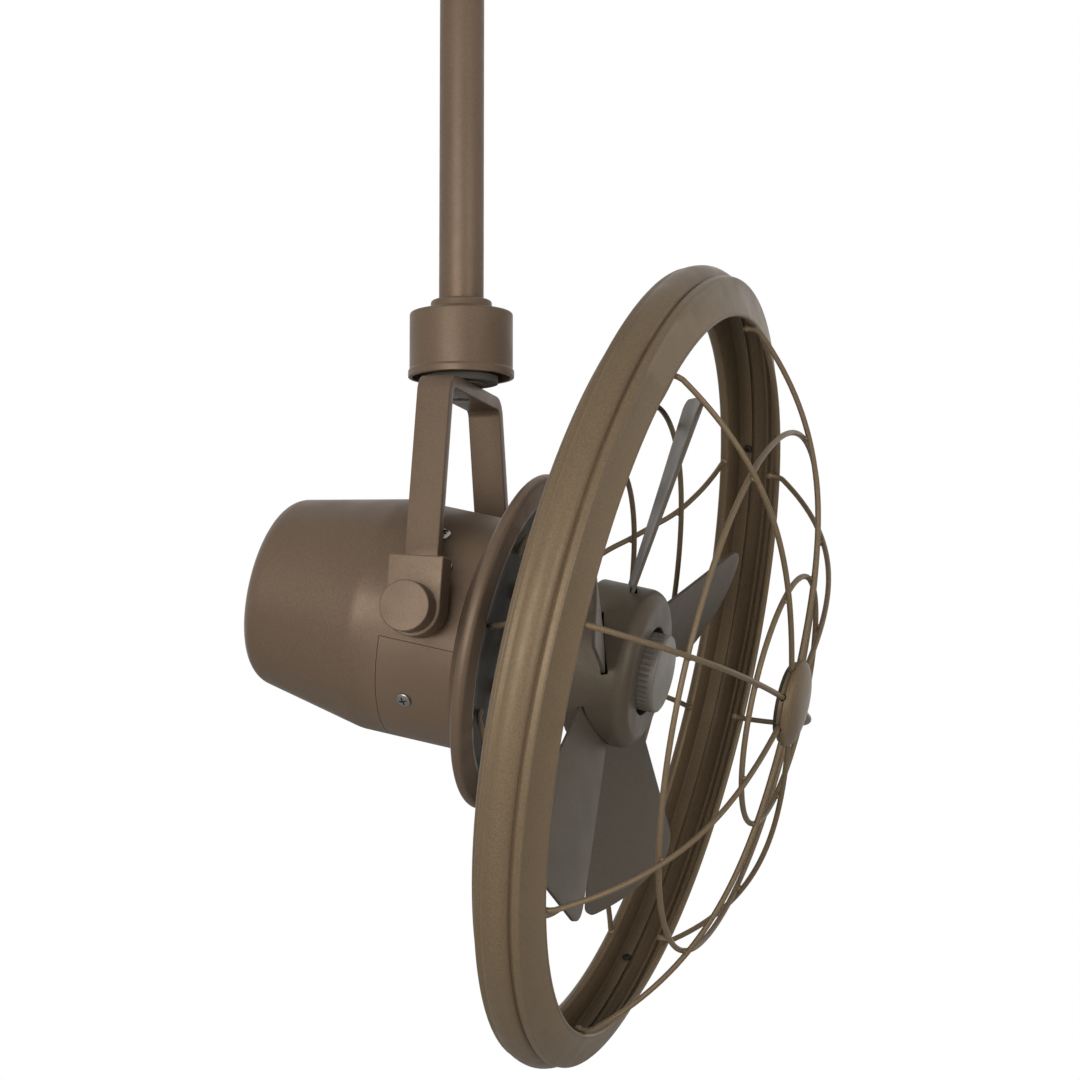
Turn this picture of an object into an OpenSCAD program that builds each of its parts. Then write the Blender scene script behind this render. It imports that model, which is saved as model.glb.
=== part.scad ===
// Outdoor ceiling fan on a downrod: a round caged head that tilts in a forked yoke.
// The origin is on the rod's axis at the ceiling. +X is the way the fan faces, +Z is up.
// Head sizes are given as a distance s along the motor axis and a radius r from it.

/* [Hanger bracket] */
// Thickness of the bracket's steel plate
bracket_t = 2.5; // [2:0.1:3.5]
// Width of the strap with the two slots
strap_w = 20; // [16:1:24]
// Distance between the two slots
slot_spacing = 88.9; // [80:0.1:95]
// Width of each slot
slot_w = 5.5; // [4.5:0.1:7]
// Length of each slot, end to end
slot_len = 14; // [9:0.5:18]
// Radius of the wire hole in the top plate
wire_hole_r = 11; // [8:0.5:14]
// Half the distance across the outer faces of the two arms
arm_x = 38; // [34:0.5:42]
// Width of each arm
arm_w = 36; // [30:1:40]
// Length of the ears that the canopy is screwed to
ear_len = 18; // [14:1:24]
// Inner radius of the ring that the ball sits on
seat_r = 21.5; // [19:0.1:22.5]
// Width of the key that stops the ball from turning
key_w = 5; // [4:0.5:7]
// Height of the key above the ring
key_h = 8; // [5:0.5:10]

/* [Hanger ball] */
// Radius of the ball
ball_r = 25; // [24:0.5:27]
// Depth of the ball's centre below the ceiling
ball_drop = 40; // [36:1:44]
// Half height of the ball between its flats
ball_flat = 18; // [16:0.5:20]
// Radius of the pin through ball and rod
ball_pin_r = 3.175; // [2.5:0.1:4]
// Length of the pin through ball and rod
ball_pin_len = 44; // [40:1:46]

/* [Canopy] */
// Outer radius of the canopy
canopy_r = 70; // [66:0.5:78]
// Height of the canopy
canopy_h = 62; // [61:0.5:72]
// Wall of the canopy
canopy_wall = 1.5; // [1:0.1:2]
// Radius of the canopy's rounded shoulder
canopy_round = 24; // [14:1:26]
// Radius of the hole round the rod
canopy_hole_r = 17; // [16.5:0.1:20]
// Depth of the canopy screws below the ceiling
canopy_screw_z = 10; // [8:0.5:12]

/* [Downrod] */
// Outer radius of the rod
rod_r = 13.35; // [12:0.05:14]
// Wall of the rod
rod_wall = 2.4; // [1.6:0.1:3]
// Length of the rod
rod_len = 304.8; // [200:1:600]

/* [Coupling] */
// Outer radius of the coupling's socket
socket_r = 17; // [16:0.1:18]
// Radius of the coupling's foot
foot_r = 22; // [19:0.5:27]
// Height of the coupling's foot
foot_h = 4; // [3:0.5:7]
// Radius of the pin through coupling and rod
rod_pin_r = 3; // [2.5:0.1:4]
// Height of that pin above the rod's lower end
rod_pin_up = 11; // [8:0.5:14]
// Height of the two set screws above the rod's lower end
set_screw_up = 23; // [20:0.5:26]
// Radius of the set screws
set_screw_r = 2.5; // [2:0.1:3]

/* [Coupling cover] */
// How far the cover's open end hangs below the rod's lower end
cover_drop = 8; // [6:0.5:10]
// Outer radius of the cover
cover_r = 30.8; // [27:0.1:34]
// Height of the cover up to its shoulder
cover_side_h = 39; // [32:0.5:42]
// Rise of the cover from shoulder to collar
cover_dome_h = 2.5; // [2:0.5:6]
// Wall of the cover
cover_wall = 1.5; // [1:0.1:2]
// How far the bead at the open end stands out
cover_bead = 0.8; // [0.4:0.1:1.5]
// Height of that bead
cover_bead_h = 4; // [3:0.5:6]
// Radius of the collar on top
collar_r = 18.1; // [17:0.1:20]
// Height of the collar
collar_h = 5; // [4:0.5:8]
// Radius of the screw that holds the collar on the rod
collar_screw_r = 1.5; // [1:0.1:1.8]

/* [Yoke] */
// Distance from the cover's open end down to the yoke's bar
yoke_gap = 5; // [4:0.5:8]
// Thickness of the yoke's flat bar
bar_t = 8; // [6:0.5:9]
// Width of the yoke's flat bar
bar_w = 20; // [17:0.5:24]
// Gap between the housing and each leg
leg_clear = 0.5; // [0.3:0.1:6]
// How much further in the legs start at the bar than they end at the tilt axis
leg_flare = 23.6; // [18:0.1:28]
// Radius of the upper bends, on the bar's middle line
shoulder_round = 9; // [7:0.5:14]
// Radius of the lower bends, on the bar's middle line
knee_round = 24; // [14:1:30]
// Depth of the tilt axis below the cover's open end
pivot_drop = 145.5; // [135:0.5:160]
// Height of the lower bends above the tilt axis
knee_up = 32.5; // [30:0.5:40]
// How far the legs reach below the tilt axis
leg_below = 11; // [9:0.5:13]
// Radius of the swivel bolt
swivel_bolt_r = 5; // [4:0.1:6]
// Radius of the swivel bolt's countersunk head
swivel_head_r = 9; // [8:0.1:9.5]
// Thickness of the friction washer under the coupling
washer_t = 0.9; // [0.6:0.1:1.6]
// Radius of the friction washer
washer_r = 15; // [12:0.5:18]

/* [Yoke lugs and knobs] */
// How far each lug stands out of its leg
lug_front = 17; // [14:0.5:22]
// Width of each lug
lug_w = 32.5; // [28:0.1:34]
// Height of each lug above the tilt axis
lug_h = 30; // [24:0.5:32]
// Angle by which each lug leans forward
lug_lean = 4.3; // [0:0.1:8]
// Radius of the tilt studs
stud_r = 4; // [3:0.1:5]
// Radius of the clamping knobs
knob_r = 14.6; // [12:0.1:18]
// Length of the clamping knobs
knob_len = 14.7; // [12:0.1:20]

/* [Motor housing] */
// Angle of the motor axis below the horizontal, as stored
head_tilt = 13.24; // [0:0.01:30]
// Distance from the tilt axis down to the motor axis
axis_drop = 4.48; // [0:0.01:8]
// Distance of the tilt axis behind the origin of s
pivot_back = 1.05; // [0:0.01:4]
// Outer radius of the housing
housing_r = 69.5; // [68.5:0.1:69.5]
// Wall of the housing
housing_wall = 2.5; // [1.5:0.1:3]
// s of the housing's front edge
housing_front = 20; // [18:0.5:21]
// Distance behind s = 0 at which the housing starts to taper
taper_back = 44.9; // [40:0.1:50]
// Distance behind s = 0 of the housing's rear face
rear_back = 119; // [117:0.5:126]
// Radius to which the taper would run at the rear face
rear_r = 54.3; // [53:0.1:60]
// Radius of the housing's rounded rear edge
rear_round = 14; // [8:0.5:18]
// Distance behind s = 0 at which the lower cover ends
lower_cover_back = 25.8; // [22:0.1:30]
// Half the angle that the lower cover spans
lower_cover_half = 78; // [70:0.5:84]

/* [Motor] */
// Wall of the motor frame's tube
frame_wall = 4; // [3:0.1:5]
// Length of the frame's thick front ring
frame_ring_len = 30; // [26:0.5:34]
// Thickness of the motor frame's end walls
end_wall = 4; // [3:0.1:5]
// Distance behind s = 0 of the inner face of the frame's rear wall
frame_back = 84; // [80:0.5:86]
// Outer radius of both bearings
bearing_r = 14; // [12:0.1:16]
// Width of both bearings
bearing_w = 8; // [6:0.1:9]
// Radius of the motor shaft
shaft_r = 6; // [5:0.1:7]
// Radius of the stator's bore
stator_bore_r = 30; // [26:0.1:34]
// Length of the stator's stack
stack_len = 46; // [40:0.5:50]
// s of the middle of the stack
stack_s = -52; // [-56:0.5:-46]
// Running gap between rotor and stator
air_gap = 0.5; // [0.4:0.05:0.8]
// Number of stator teeth
teeth = 12; // [6:2:18]
// Length of the run capacitor
capacitor_len = 36; // [30:1:40]
// Depth of the run capacitor
capacitor_t = 15; // [12:0.5:17]

/* [Front dish] */
// Largest radius of the dish
dish_r = 100.3; // [96:0.1:104]
// How far the dish's widest edge lies in front of the housing
dish_edge_s = 16.8; // [14:0.1:17.5]
// How far the dish's front lip lies in front of the housing
dish_lip_s = 21; // [20:0.1:24]
// Radius of the dish's front lip
dish_lip_r = 85.5; // [82:0.1:88]
// Sheet thickness of the dish
dish_wall = 1.2; // [1:0.1:1.6]
// How far the recessed plate lies in front of the housing
recess_ahead = 16; // [13:0.5:16.5]
// Radius of the hole for the shaft in the recessed plate
plate_hole_r = 10; // [8:0.5:13]

/* [Guard rings] */
// Largest radius of the guard's outer ring
ring_r = 236.8; // [225:0.1:250]
// Sheet thickness of both rings
ring_wall = 1.2; // [0.9:0.1:1.6]
// s at which the rear ring's flange starts
ring_s = 99; // [97:0.5:102]
// Width of the rear ring's flange
flange_w = 8; // [7:0.1:9]
// How far the front ring laps over the rear ring's flange
ring_lap = 3.8; // [3.5:0.1:4.5]
// Width of the front ring's band and groove
band_w = 21.1; // [19:0.1:23]
// Inner edge of the front ring's rolled lip
lip_r = 211.1; // [204:0.1:216]
// Radius of the roll at the front lip
lip_roll = 1.8; // [1.4:0.1:2.4]
// How far the front lip lies in front of the rear ring
lip_ahead = 31; // [29:0.5:34]
// Inner edge of the rear ring's rolled bead
bead_edge_r = 214.5; // [206:0.1:216]
// Radius of the rear ring's rolled bead
bead_roll = 3; // [2:0.1:4]
// How far the rear bead lies behind the rear ring's flange
bead_behind = 4.5; // [4:0.5:8]

/* [Guard wires] */
// Diameter of every guard wire
wire_d = 3.3; // [2.5:0.1:4]
// Number of spokes in each guard
spokes = 8; // [6:1:12]
// Angle of the first spoke, from the top towards the -Y side
spoke_turn = -3.5; // [-10:0.1:10]
// s of the front guard's middle
dome_s = 203.2; // [198:0.1:210]
// Depth of the round part of the front guard's curve
dome_round = 23.1; // [15:0.1:30]
// Depth of the steep part of the front guard's curve
dome_steep = 48.7; // [40:0.1:55]
// Radius of the front guard's outer wire ring
front_ring_r = 152; // [140:1:170]
// Radius of the front guard's inner wire ring
front_ring_small_r = 72.5; // [60:0.5:85]
// Radius of the rear guard's outer wire ring
rear_ring_r = 152.5; // [140:0.5:165]
// Radius of the rear guard's inner wire ring
rear_ring_small_r = 116.5; // [108:0.5:122]

/* [Guard cap] */
// Radius of the guard's middle cap
cap_r = 25; // [22:0.5:32]
// Height of the cap's rim
cap_rim_h = 4.5; // [4:0.5:8]
// Height of the cap's dome above its rim
cap_dome_h = 6.5; // [4:0.5:12]
// Wall of the cap
cap_wall = 2; // [1.5:0.1:2.5]
// How far the cap's face stands out over its skirt
cap_step = 1.5; // [0.5:0.1:2]

/* [Blades] */
// Number of blades
blades = 5; // [5:1:5]
// Angle of the first blade, from the top towards the -Y side
blade_turn = 6.06; // [0:0.01:72]
// Length of a blade's middle line, from the motor axis
tip_r = 161.5; // [150:0.5:175]
// Half the width of a blade at its root
root_half = 18; // [14:0.5:18]
// Half the width of a blade at its tip
tip_half = 42; // [36:0.1:50]
// How far the tip is swept back
tip_sweep = 12; // [0:0.5:16]
// Pitch of a blade at its root
root_pitch = 19.5; // [15:0.1:22]
// Pitch of a blade at its tip
tip_pitch = 16.6; // [12:0.1:22]
// How far the tip lies in front of the root
tip_ahead = 20; // [10:0.5:24]
// Depth of a blade's hollow at full width
camber = 4.55; // [2:0.05:6]
// Radius of the tip's forward corner
tip_round = 14; // [4:0.5:20]
// Radius of the tip's rear corner
tip_round_back = 7; // [4:0.5:20]
// Thickness of a blade
blade_t = 2.4; // [1.6:0.1:3]

/* [Blade hub] */
// Outer radius of the hub drum
drum_r = 47; // [44:0.5:52]
// s of the middle of the blade roots
root_s = 98.2; // [97:0.1:100]
// Length of the hub drum behind the blade roots
drum_behind = 18; // [16:0.5:22]
// Length of the hub drum in front of the blade roots
drum_ahead = 20; // [18:0.5:22]
// Wall of the hub drum
drum_wall = 3; // [2:0.1:4]
// Radius of the recess round the nut
recess_r = 26; // [24:0.5:30]
// Depth of that recess
recess_depth = 14; // [12:0.5:15]
// Radius of the blade nut
nut_r = 23; // [18:0.1:23.5]
// How far the blade nut stands out of the drum
nut_out = 8.7; // [4:0.1:10]
// Number of ribs on the blade nut
nut_ribs = 40; // [24:2:44]
// Radius of the pin that drives the hub
drive_pin_r = 2; // [1.5:0.1:2.2]

/* [Fasteners] */
// Radius of the small screws' shanks
screw_r = 2; // [1.5:0.1:2.2]
// Radius of the small screws' heads
screw_head_r = 4.6; // [3:0.1:5]
// Height of the small screws' heads
screw_head_h = 1.8; // [1.2:0.1:2.4]
// Length of the housing screws under the head
housing_screw_len = 8; // [6:0.5:10]
// s of the four main housing screws
housing_screw_s = -8; // [-11:0.5:-7]

/* [Clearances] */
// Gap between pieces that touch or pass close by
seat_gap = 0.3; // [0.2:0.05:0.4]
// Radial gap of pins, bolts and shafts in their holes
running_gap = 0.05; // [0.02:0.01:0.1]
// Radial gap of screws in the sheets that they pass
screw_gap = 0.2; // [0.1:0.05:0.4]

/* [Hidden] */

$fn = 96;
bronze = [0.24, 0.17, 0.13];
dark_bronze = [0.16, 0.12, 0.10];
blade_brown = [0.42, 0.36, 0.31];
zinc = [0.68, 0.68, 0.66];
black_steel = [0.12, 0.12, 0.13];
copper = [0.72, 0.42, 0.24];
over = 1;

// Heights down the rod's axis
ball_z = -ball_drop;
rod_top_z = ball_z + ball_flat;
rod_end_z = rod_top_z - rod_len;
seat_z = ball_z - sqrt(ball_r * ball_r - seat_r * seat_r) - seat_gap;
cover_z = rod_end_z - cover_drop;
bar_top_z = cover_z - yoke_gap;
foot_z = bar_top_z + washer_t + 2 * seat_gap;
pivot_z = cover_z - pivot_drop;
cover_top_z = cover_z + cover_side_h + cover_dome_h;

// Middle line of a leg, and outer face of a lug, from the rod's axis
leg_y = housing_r + leg_clear + bar_t / 2;
lug_face_y = leg_y + bar_t / 2 + lug_front;

// Places in the head
wire_r = wire_d / 2;
dish_back_s = housing_front + seat_gap;
recess_s = housing_front + recess_ahead;
spoke_root_s = recess_s + dish_wall / 2 + wire_r + running_gap;
frame_ring_r = housing_r - housing_wall - seat_gap;
taper_slope = (housing_r - rear_r) / (rear_back - taper_back);
frame_r = rear_r + taper_slope * (rear_back - frame_back - end_wall) - housing_wall * 1.03 - seat_gap;
frame_front_s = housing_front - end_wall - seat_gap;
bearing_back_s = -frame_back - bearing_w;
drum_back_s = root_s - drum_behind;
drum_front_s = root_s + drum_ahead;
recess_floor_s = drum_front_s - recess_depth;
nut_back_s = recess_floor_s + seat_gap;
nut_front_s = drum_front_s + nut_out;
lip_s = ring_s + lip_ahead;
bead_s = ring_s - bead_behind;
flange_mid_r = ring_r - 3.2;
cap_back_s = dome_s - wire_r - 0.2;
cap_plate_s = dome_s - wire_r - 2.7;
cap_rim_s = cap_back_s + cap_rim_h;
cap_in_r = cap_r - cap_step - cap_wall;

// Unit vector along v
function unit(v) = v / norm(v);

// Direction of a path at its point i
function path_dir(path, i) = unit(path[min(i + 1, len(path) - 1)] - path[max(i - 1, 0)]);

// Vector square to d, on its left
function left_of(d) = [-d[1], d[0]];

// Outline of a sheet of the given thickness, centred on a path
function sheet(path, wall) = concat(
    [for (i = [0 : len(path) - 1]) path[i] + left_of(path_dir(path, i)) * wall / 2],
    [for (i = [len(path) - 1 : -1 : 0]) path[i] - left_of(path_dir(path, i)) * wall / 2]
);

// Points that round the corner b on the way from a to c
function bend(a, b, c, radius, steps = 6) =
    let (u = unit(a - b), v = unit(c - b), half = acos(u * v) / 2)
    let (centre = b + unit(u + v) * radius / sin(half))
    let (from = b + u * radius / tan(half) - centre, to = b + v * radius / tan(half) - centre)
    [for (i = [0 : steps]) centre + radius * unit(from * (1 - i / steps) + to * (i / steps))];

// Value at x on the line through listed points [x, y]
function along(points, x, i = 0) =
    i >= len(points) - 2 || x <= points[i + 1][0]
    ? points[i][1] + (points[i + 1][1] - points[i][1]) * (x - points[i][0])
        / (points[i + 1][0] - points[i][0])
    : along(points, x, i + 1);

// Turns children into the head's frame, in which +Z is the motor axis and +X points down
module head() {
    translate([0, 0, pivot_z])
        rotate([0, 90 + head_tilt, 0])
            translate([axis_drop, 0, pivot_back])
                children();
}

// Turns children to the angle phi round the motor axis, from the top towards the -Y side
module at_phi(phi) {
    rotate([0, 0, 180 + phi]) children();
}

// Round bar from a to b along Z
module bar_z(radius, a, b) {
    translate([0, 0, min(a, b)]) cylinder(r = radius, h = abs(b - a));
}

// Round bar from a to b along Y
module bar_y(radius, a, b) {
    translate([0, max(a, b), 0]) rotate([90, 0, 0]) cylinder(r = radius, h = abs(b - a));
}

// Round bar from a to b along X
module bar_x(radius, a, b) {
    translate([min(a, b), 0, 0]) rotate([0, 90, 0]) cylinder(r = radius, h = abs(b - a));
}

// Block between two corners
module block(low, high) {
    translate(low) cube(high - low);
}

// Sheet of revolution on a path of [r, s] points
module spun_sheet(path, wall) {
    rotate_extrude() polygon(sheet(path, wall));
}

// Smooth wire along a path of [r, s] points that lies in one plane
module wire(path, radius, sides = 8) {
    n = len(path);
    rings = [for (i = [0 : n - 1], k = [0 : sides - 1])
        let (across = left_of(path_dir(path, i)) * radius * cos(360 * k / sides))
        [path[i][0] + across[0], radius * sin(360 * k / sides), path[i][1] + across[1]]
    ];
    walls = [for (i = [0 : n - 2], k = [0 : sides - 1], half = [0, 1])
        let (a = i * sides + k, b = i * sides + (k + 1) % sides)
        half == 0 ? [a, b, a + sides] : [b, b + sides, a + sides]
    ];
    first = [for (k = [1 : sides - 2]) [0, k + 1, k]];
    last = [for (k = [1 : sides - 2]) [(n - 1) * sides, (n - 1) * sides + k, (n - 1) * sides + k + 1]];
    polyhedron(points = rings, faces = concat(walls, first, last), convexity = 4);
}

// Small pan-head screw along +Z, with the underside of its head at z = 0
module pan_screw(length, radius = screw_r, head_r = screw_head_r, head_h = screw_head_h) {
    difference() {
        union() {
            bar_z(radius, -length, 0);
            bar_z(head_r, 0, head_h);
        }
        block([-head_r * 0.6, -0.4, head_h / 2], [head_r * 0.6, 0.4, head_h + over]);
        block([-0.4, -head_r * 0.6, head_h / 2], [0.4, head_r * 0.6, head_h + over]);
    }
}

// Hanger bracket
ear_y = sqrt(pow(canopy_r - canopy_wall, 2) - pow(strap_w / 2, 2)) - seat_gap;
seat_outer_r = seat_r + 7.5;
entry_w = 2 * (rod_r + 0.6);
key_x = seat_r - 0.5;

module bracket_slot() {
    straight = (slot_len - slot_w) / 2;
    block([-slot_w / 2, -straight, -bracket_t - over], [slot_w / 2, straight, over]);
    for (side = [-1, 1])
        translate([0, side * straight, 0]) bar_z(slot_w / 2, -bracket_t - over, over);
}

module hanger_bracket() {
    color(zinc) difference() {
        union() {
            block([-strap_w / 2, -ear_y, -bracket_t], [strap_w / 2, ear_y, 0]);
            block([-arm_x, -arm_w / 2, -bracket_t], [arm_x, arm_w / 2, 0]);
            for (side = [-1, 1]) {
                block(
                    [side > 0 ? arm_x - bracket_t : -arm_x, -arm_w / 2, seat_z - bracket_t],
                    [side > 0 ? arm_x : bracket_t - arm_x, arm_w / 2, 0]
                );
                block(
                    [-strap_w / 2, side > 0 ? ear_y - bracket_t : -ear_y, -ear_len],
                    [strap_w / 2, side > 0 ? ear_y : bracket_t - ear_y, 0]
                );
            }
            block([-arm_x, -arm_w / 2, seat_z - bracket_t], [arm_x, arm_w / 2, seat_z]);
            bar_z(seat_outer_r, seat_z - bracket_t, seat_z);
            block([-key_x - 5, -key_w / 2, seat_z - bracket_t], [-key_x, key_w / 2, seat_z + key_h]);
        }
        bar_z(seat_r, seat_z - bracket_t - over, seat_z);
        block(
            [-entry_w / 2, 0, seat_z - bracket_t - over],
            [entry_w / 2, seat_outer_r + over, seat_z + over]
        );
        bar_z(wire_hole_r, -bracket_t - over, over);
        for (side = [-1, 1]) translate([0, side * slot_spacing / 2, 0]) bracket_slot();
        translate([0, 0, -canopy_screw_z]) bar_y(screw_r + running_gap, -ear_y - over, ear_y + over);
    }
}

// Ball with its bore, its pin hole and the groove for the key
groove_x = key_x - 2.2;

module hanger_ball() {
    color(black_steel) translate([0, 0, ball_z]) difference() {
        intersection() {
            sphere(r = ball_r);
            bar_z(ball_r + over, -ball_flat, ball_flat);
        }
        bar_z(rod_r + running_gap, -ball_flat - over, ball_flat + over);
        bar_y(ball_pin_r + running_gap, -ball_r - over, ball_r + over);
        block(
            [-ball_r - over, -key_w / 2 - 0.4, -ball_r],
            [-groove_x, key_w / 2 + 0.4, ball_r]
        );
    }
}

module ball_pin() {
    color(zinc) translate([0, 0, ball_z]) bar_y(ball_pin_r, -ball_pin_len / 2, ball_pin_len / 2);
}

// Canopy, open to the ceiling
canopy_mid_r = canopy_r - canopy_wall / 2;
canopy_floor_z = -canopy_h + canopy_wall / 2;

module canopy() {
    top = [canopy_mid_r, -seat_gap];
    corner = [canopy_mid_r, canopy_floor_z];
    inner = [canopy_hole_r, canopy_floor_z];
    path = concat([top], bend(top, corner, inner, canopy_round, 10), [inner]);
    color(bronze) difference() {
        spun_sheet(path, canopy_wall);
        translate([0, 0, -canopy_screw_z])
            bar_y(screw_r + screw_gap, -canopy_r - over, canopy_r + over);
    }
}

module canopy_screws() {
    reach = canopy_r - ear_y + bracket_t + over;
    color(black_steel) for (side = [0, 180])
        rotate([0, 0, side]) translate([0, canopy_r + running_gap, -canopy_screw_z])
            rotate([-90, 0, 0]) pan_screw(reach);
}

// Rod with its two pin holes
rod_pin_z = rod_end_z + rod_pin_up;
set_screw_z = rod_end_z + set_screw_up;

module downrod() {
    color(bronze) difference() {
        bar_z(rod_r, rod_end_z, rod_top_z);
        bar_z(rod_r - rod_wall, rod_end_z - over, rod_top_z + over);
        translate([0, 0, ball_z]) bar_y(ball_pin_r + running_gap, -rod_r - over, rod_r + over);
        translate([0, 0, rod_pin_z]) bar_y(rod_pin_r + running_gap, -rod_r - over, rod_r + over);
    }
}

module rod_pin() {
    color(zinc) translate([0, 0, rod_pin_z]) bar_y(rod_pin_r, -socket_r - 3, socket_r + 3);
}

module rod_set_screws() {
    color(black_steel) for (side = [0, 180])
        rotate([0, 0, side]) translate([0, 0, set_screw_z])
            bar_x(set_screw_r, rod_r + running_gap, socket_r + 3);
}

// Coupling with the rod's socket, and a threaded hole for the swivel bolt
dome_under_z = cover_z + cover_side_h + cover_dome_h * 0.6 - cover_wall;
bolt_hole_z = rod_end_z - 0.6;

module coupling() {
    color(black_steel) difference() {
        union() {
            bar_z(socket_r, foot_z, dome_under_z - seat_gap);
            bar_z(foot_r, foot_z, foot_z + foot_h);
        }
        bar_z(rod_r + running_gap, rod_end_z - seat_gap, cover_top_z);
        bar_z(swivel_bolt_r + running_gap, foot_z - over, rod_end_z);
        translate([0, 0, rod_pin_z]) bar_y(rod_pin_r + running_gap, -socket_r - over, socket_r + over);
        translate([0, 0, set_screw_z])
            bar_x(set_screw_r + running_gap, -socket_r - over, socket_r + over);
    }
}

// Cover with a bead at its open end, a flat dome and a collar
module coupling_cover() {
    rod_hole = rod_r + running_gap;
    shoulder = [cover_r, cover_side_h];
    dome_end = [collar_r, cover_side_h + cover_dome_h];
    inside_r = cover_r - cover_wall;
    top = cover_side_h + cover_dome_h + collar_h;
    outline = concat(
        [[inside_r, 0], [cover_r + cover_bead, 0], [cover_r + cover_bead, cover_bead_h],
            [cover_r, cover_bead_h + cover_bead]],
        bend([cover_r, 0], shoulder, dome_end, 2, 5),
        [dome_end, [collar_r, top - 1.6], [collar_r - 1.6, top], [rod_hole, top]],
        [[rod_hole, cover_side_h + cover_dome_h * 0.6 - cover_wall],
            [socket_r + 0.5, cover_side_h + cover_dome_h * 0.6 - cover_wall],
            [inside_r, cover_side_h - cover_wall * 2]]
    );
    color(bronze) difference() {
        translate([0, 0, cover_z]) rotate_extrude() polygon(outline);
        translate([0, 0, cover_top_z + collar_h / 2])
            bar_x(collar_screw_r + running_gap, -collar_r - over, 0);
    }
}

module cover_set_screw() {
    color(black_steel) translate([0, 0, cover_top_z + collar_h / 2])
        bar_x(collar_screw_r, -collar_r + 0.4, -rod_r - running_gap);
}

// Swivel bolt, flush in the underside of the yoke's bar
sink_h = swivel_head_r - swivel_bolt_r;
head_sunk = 0.5;

module swivel_bolt() {
    color(black_steel) translate([0, 0, bar_top_z - bar_t]) difference() {
        union() {
            bar_z(swivel_bolt_r, head_sunk, bolt_hole_z - bar_top_z + bar_t);
            translate([0, 0, head_sunk]) cylinder(r1 = swivel_head_r, r2 = swivel_bolt_r, h = sink_h);
        }
        translate([0, 0, head_sunk - over])
            cylinder(r = swivel_bolt_r * 0.58, h = sink_h * 0.6 + over, $fn = 6);
    }
}

module friction_washer() {
    color(black_steel) translate([0, 0, bar_top_z + seat_gap]) difference() {
        bar_z(washer_r, 0, washer_t);
        bar_z(swivel_bolt_r + running_gap, -over, washer_t + over);
    }
}

// Yoke: one flat bar bent into a crossbar and two legs
bar_mid_z = bar_top_z - bar_t / 2;
leg_end_z = pivot_z - leg_below;
knee = [leg_y, pivot_z + knee_up];
yoke_shoulder = [leg_y - leg_flare, bar_mid_z];
yoke_half = concat(
    bend([0, bar_mid_z], yoke_shoulder, knee, shoulder_round, 8),
    bend(yoke_shoulder, knee, [leg_y, leg_end_z], knee_round, 4),
    [[leg_y, leg_end_z]]
);
yoke_path = concat(
    [for (i = [len(yoke_half) - 1 : -1 : 0]) [-yoke_half[i][0], yoke_half[i][1]]],
    [[0, bar_mid_z]],
    yoke_half
);

module yoke_bar() {
    color(bronze) difference() {
        rotate([90, 0, 90])
            translate([0, 0, -bar_w / 2]) linear_extrude(bar_w) polygon(sheet(yoke_path, bar_t));
        bar_z(swivel_bolt_r + running_gap, bar_top_z - bar_t - over, bar_top_z + over);
        translate([0, 0, bar_top_z - bar_t + head_sunk - over])
            cylinder(
                r1 = swivel_head_r + running_gap + over, r2 = swivel_bolt_r + running_gap,
                h = sink_h + over
            );
        translate([0, 0, pivot_z]) bar_y(stud_r + running_gap, -leg_y - bar_t, leg_y + bar_t);
    }
}

// Lug: a block with a half-round foot on the outer face of a leg
lug_inner_y = leg_y + bar_t / 2 + seat_gap;

module lug(side) {
    color(bronze) translate([0, 0, pivot_z]) difference() {
        rotate([0, lug_lean, 0]) {
            bar_y(lug_w / 2, side * lug_inner_y, side * lug_face_y);
            block(
                [-lug_w / 2, min(side * lug_inner_y, side * lug_face_y), 0],
                [lug_w / 2, max(side * lug_inner_y, side * lug_face_y), lug_h]
            );
        }
        bar_y(stud_r + running_gap, -lug_face_y - over, lug_face_y + over);
    }
}

module lug_left() { lug(1); }
module lug_right() { lug(-1); }

// Studs that the head tilts on, one on each side
knob_y = lug_face_y + seat_gap;
stud_in_y = frame_r - 0.5;

module tilt_studs() {
    color(zinc) translate([0, 0, pivot_z]) for (side = [-1, 1])
        bar_y(stud_r, side * stud_in_y, side * (knob_y + knob_len - 3.5));
}

// Knob with a narrow neck and a blind hole for the stud
module knob(side) {
    color(bronze) translate([0, 0, pivot_z]) difference() {
        union() {
            bar_y(knob_r, side * (knob_y + 2), side * (knob_y + knob_len - 1.2));
            bar_y(knob_r - 1.2, side * (knob_y + 2), side * (knob_y + knob_len));
            bar_y(knob_r * 0.7, side * knob_y, side * (knob_y + 2));
        }
        bar_y(stud_r + running_gap, side * (knob_y - over), side * (knob_y + knob_len - 3));
    }
}

module knob_left() { knob(1); }
module knob_right() { knob(-1); }

// Housing: the upper shell with the tapered rear end
housing_mid_r = housing_r - housing_wall / 2;
rear_face_s = -rear_back + housing_wall / 2;
housing_corner = [rear_r - housing_wall / 2, rear_face_s];
housing_taper = [housing_mid_r, -taper_back];
housing_path = concat(
    [[housing_mid_r, housing_front], housing_taper],
    bend(housing_taper, housing_corner, [0, rear_face_s], rear_round, 10),
    [[0, rear_face_s]]
);

// Wedge below the motor axis, from s_from forwards
module lower_wedge(half_angle, s_from) {
    reach = housing_r * 1.6;
    translate([0, 0, s_from]) linear_extrude(housing_front + over - s_from)
        polygon(concat([[0, 0]], [for (i = [-2 : 2]) reach * [cos(i * half_angle / 2), sin(i * half_angle / 2)]]));
}

// Holes for the housing screws in whatever they pass
housing_screw_phis = [-133, -43.5, 43.5, 133];
upper_screw_phis = [-63, 63];
upper_screw_s = housing_screw_s + 10;

module at_housing_screws() {
    for (phi = housing_screw_phis) at_phi(phi) translate([0, 0, housing_screw_s]) children();
    for (phi = upper_screw_phis) at_phi(phi) translate([0, 0, upper_screw_s]) children();
}

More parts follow.
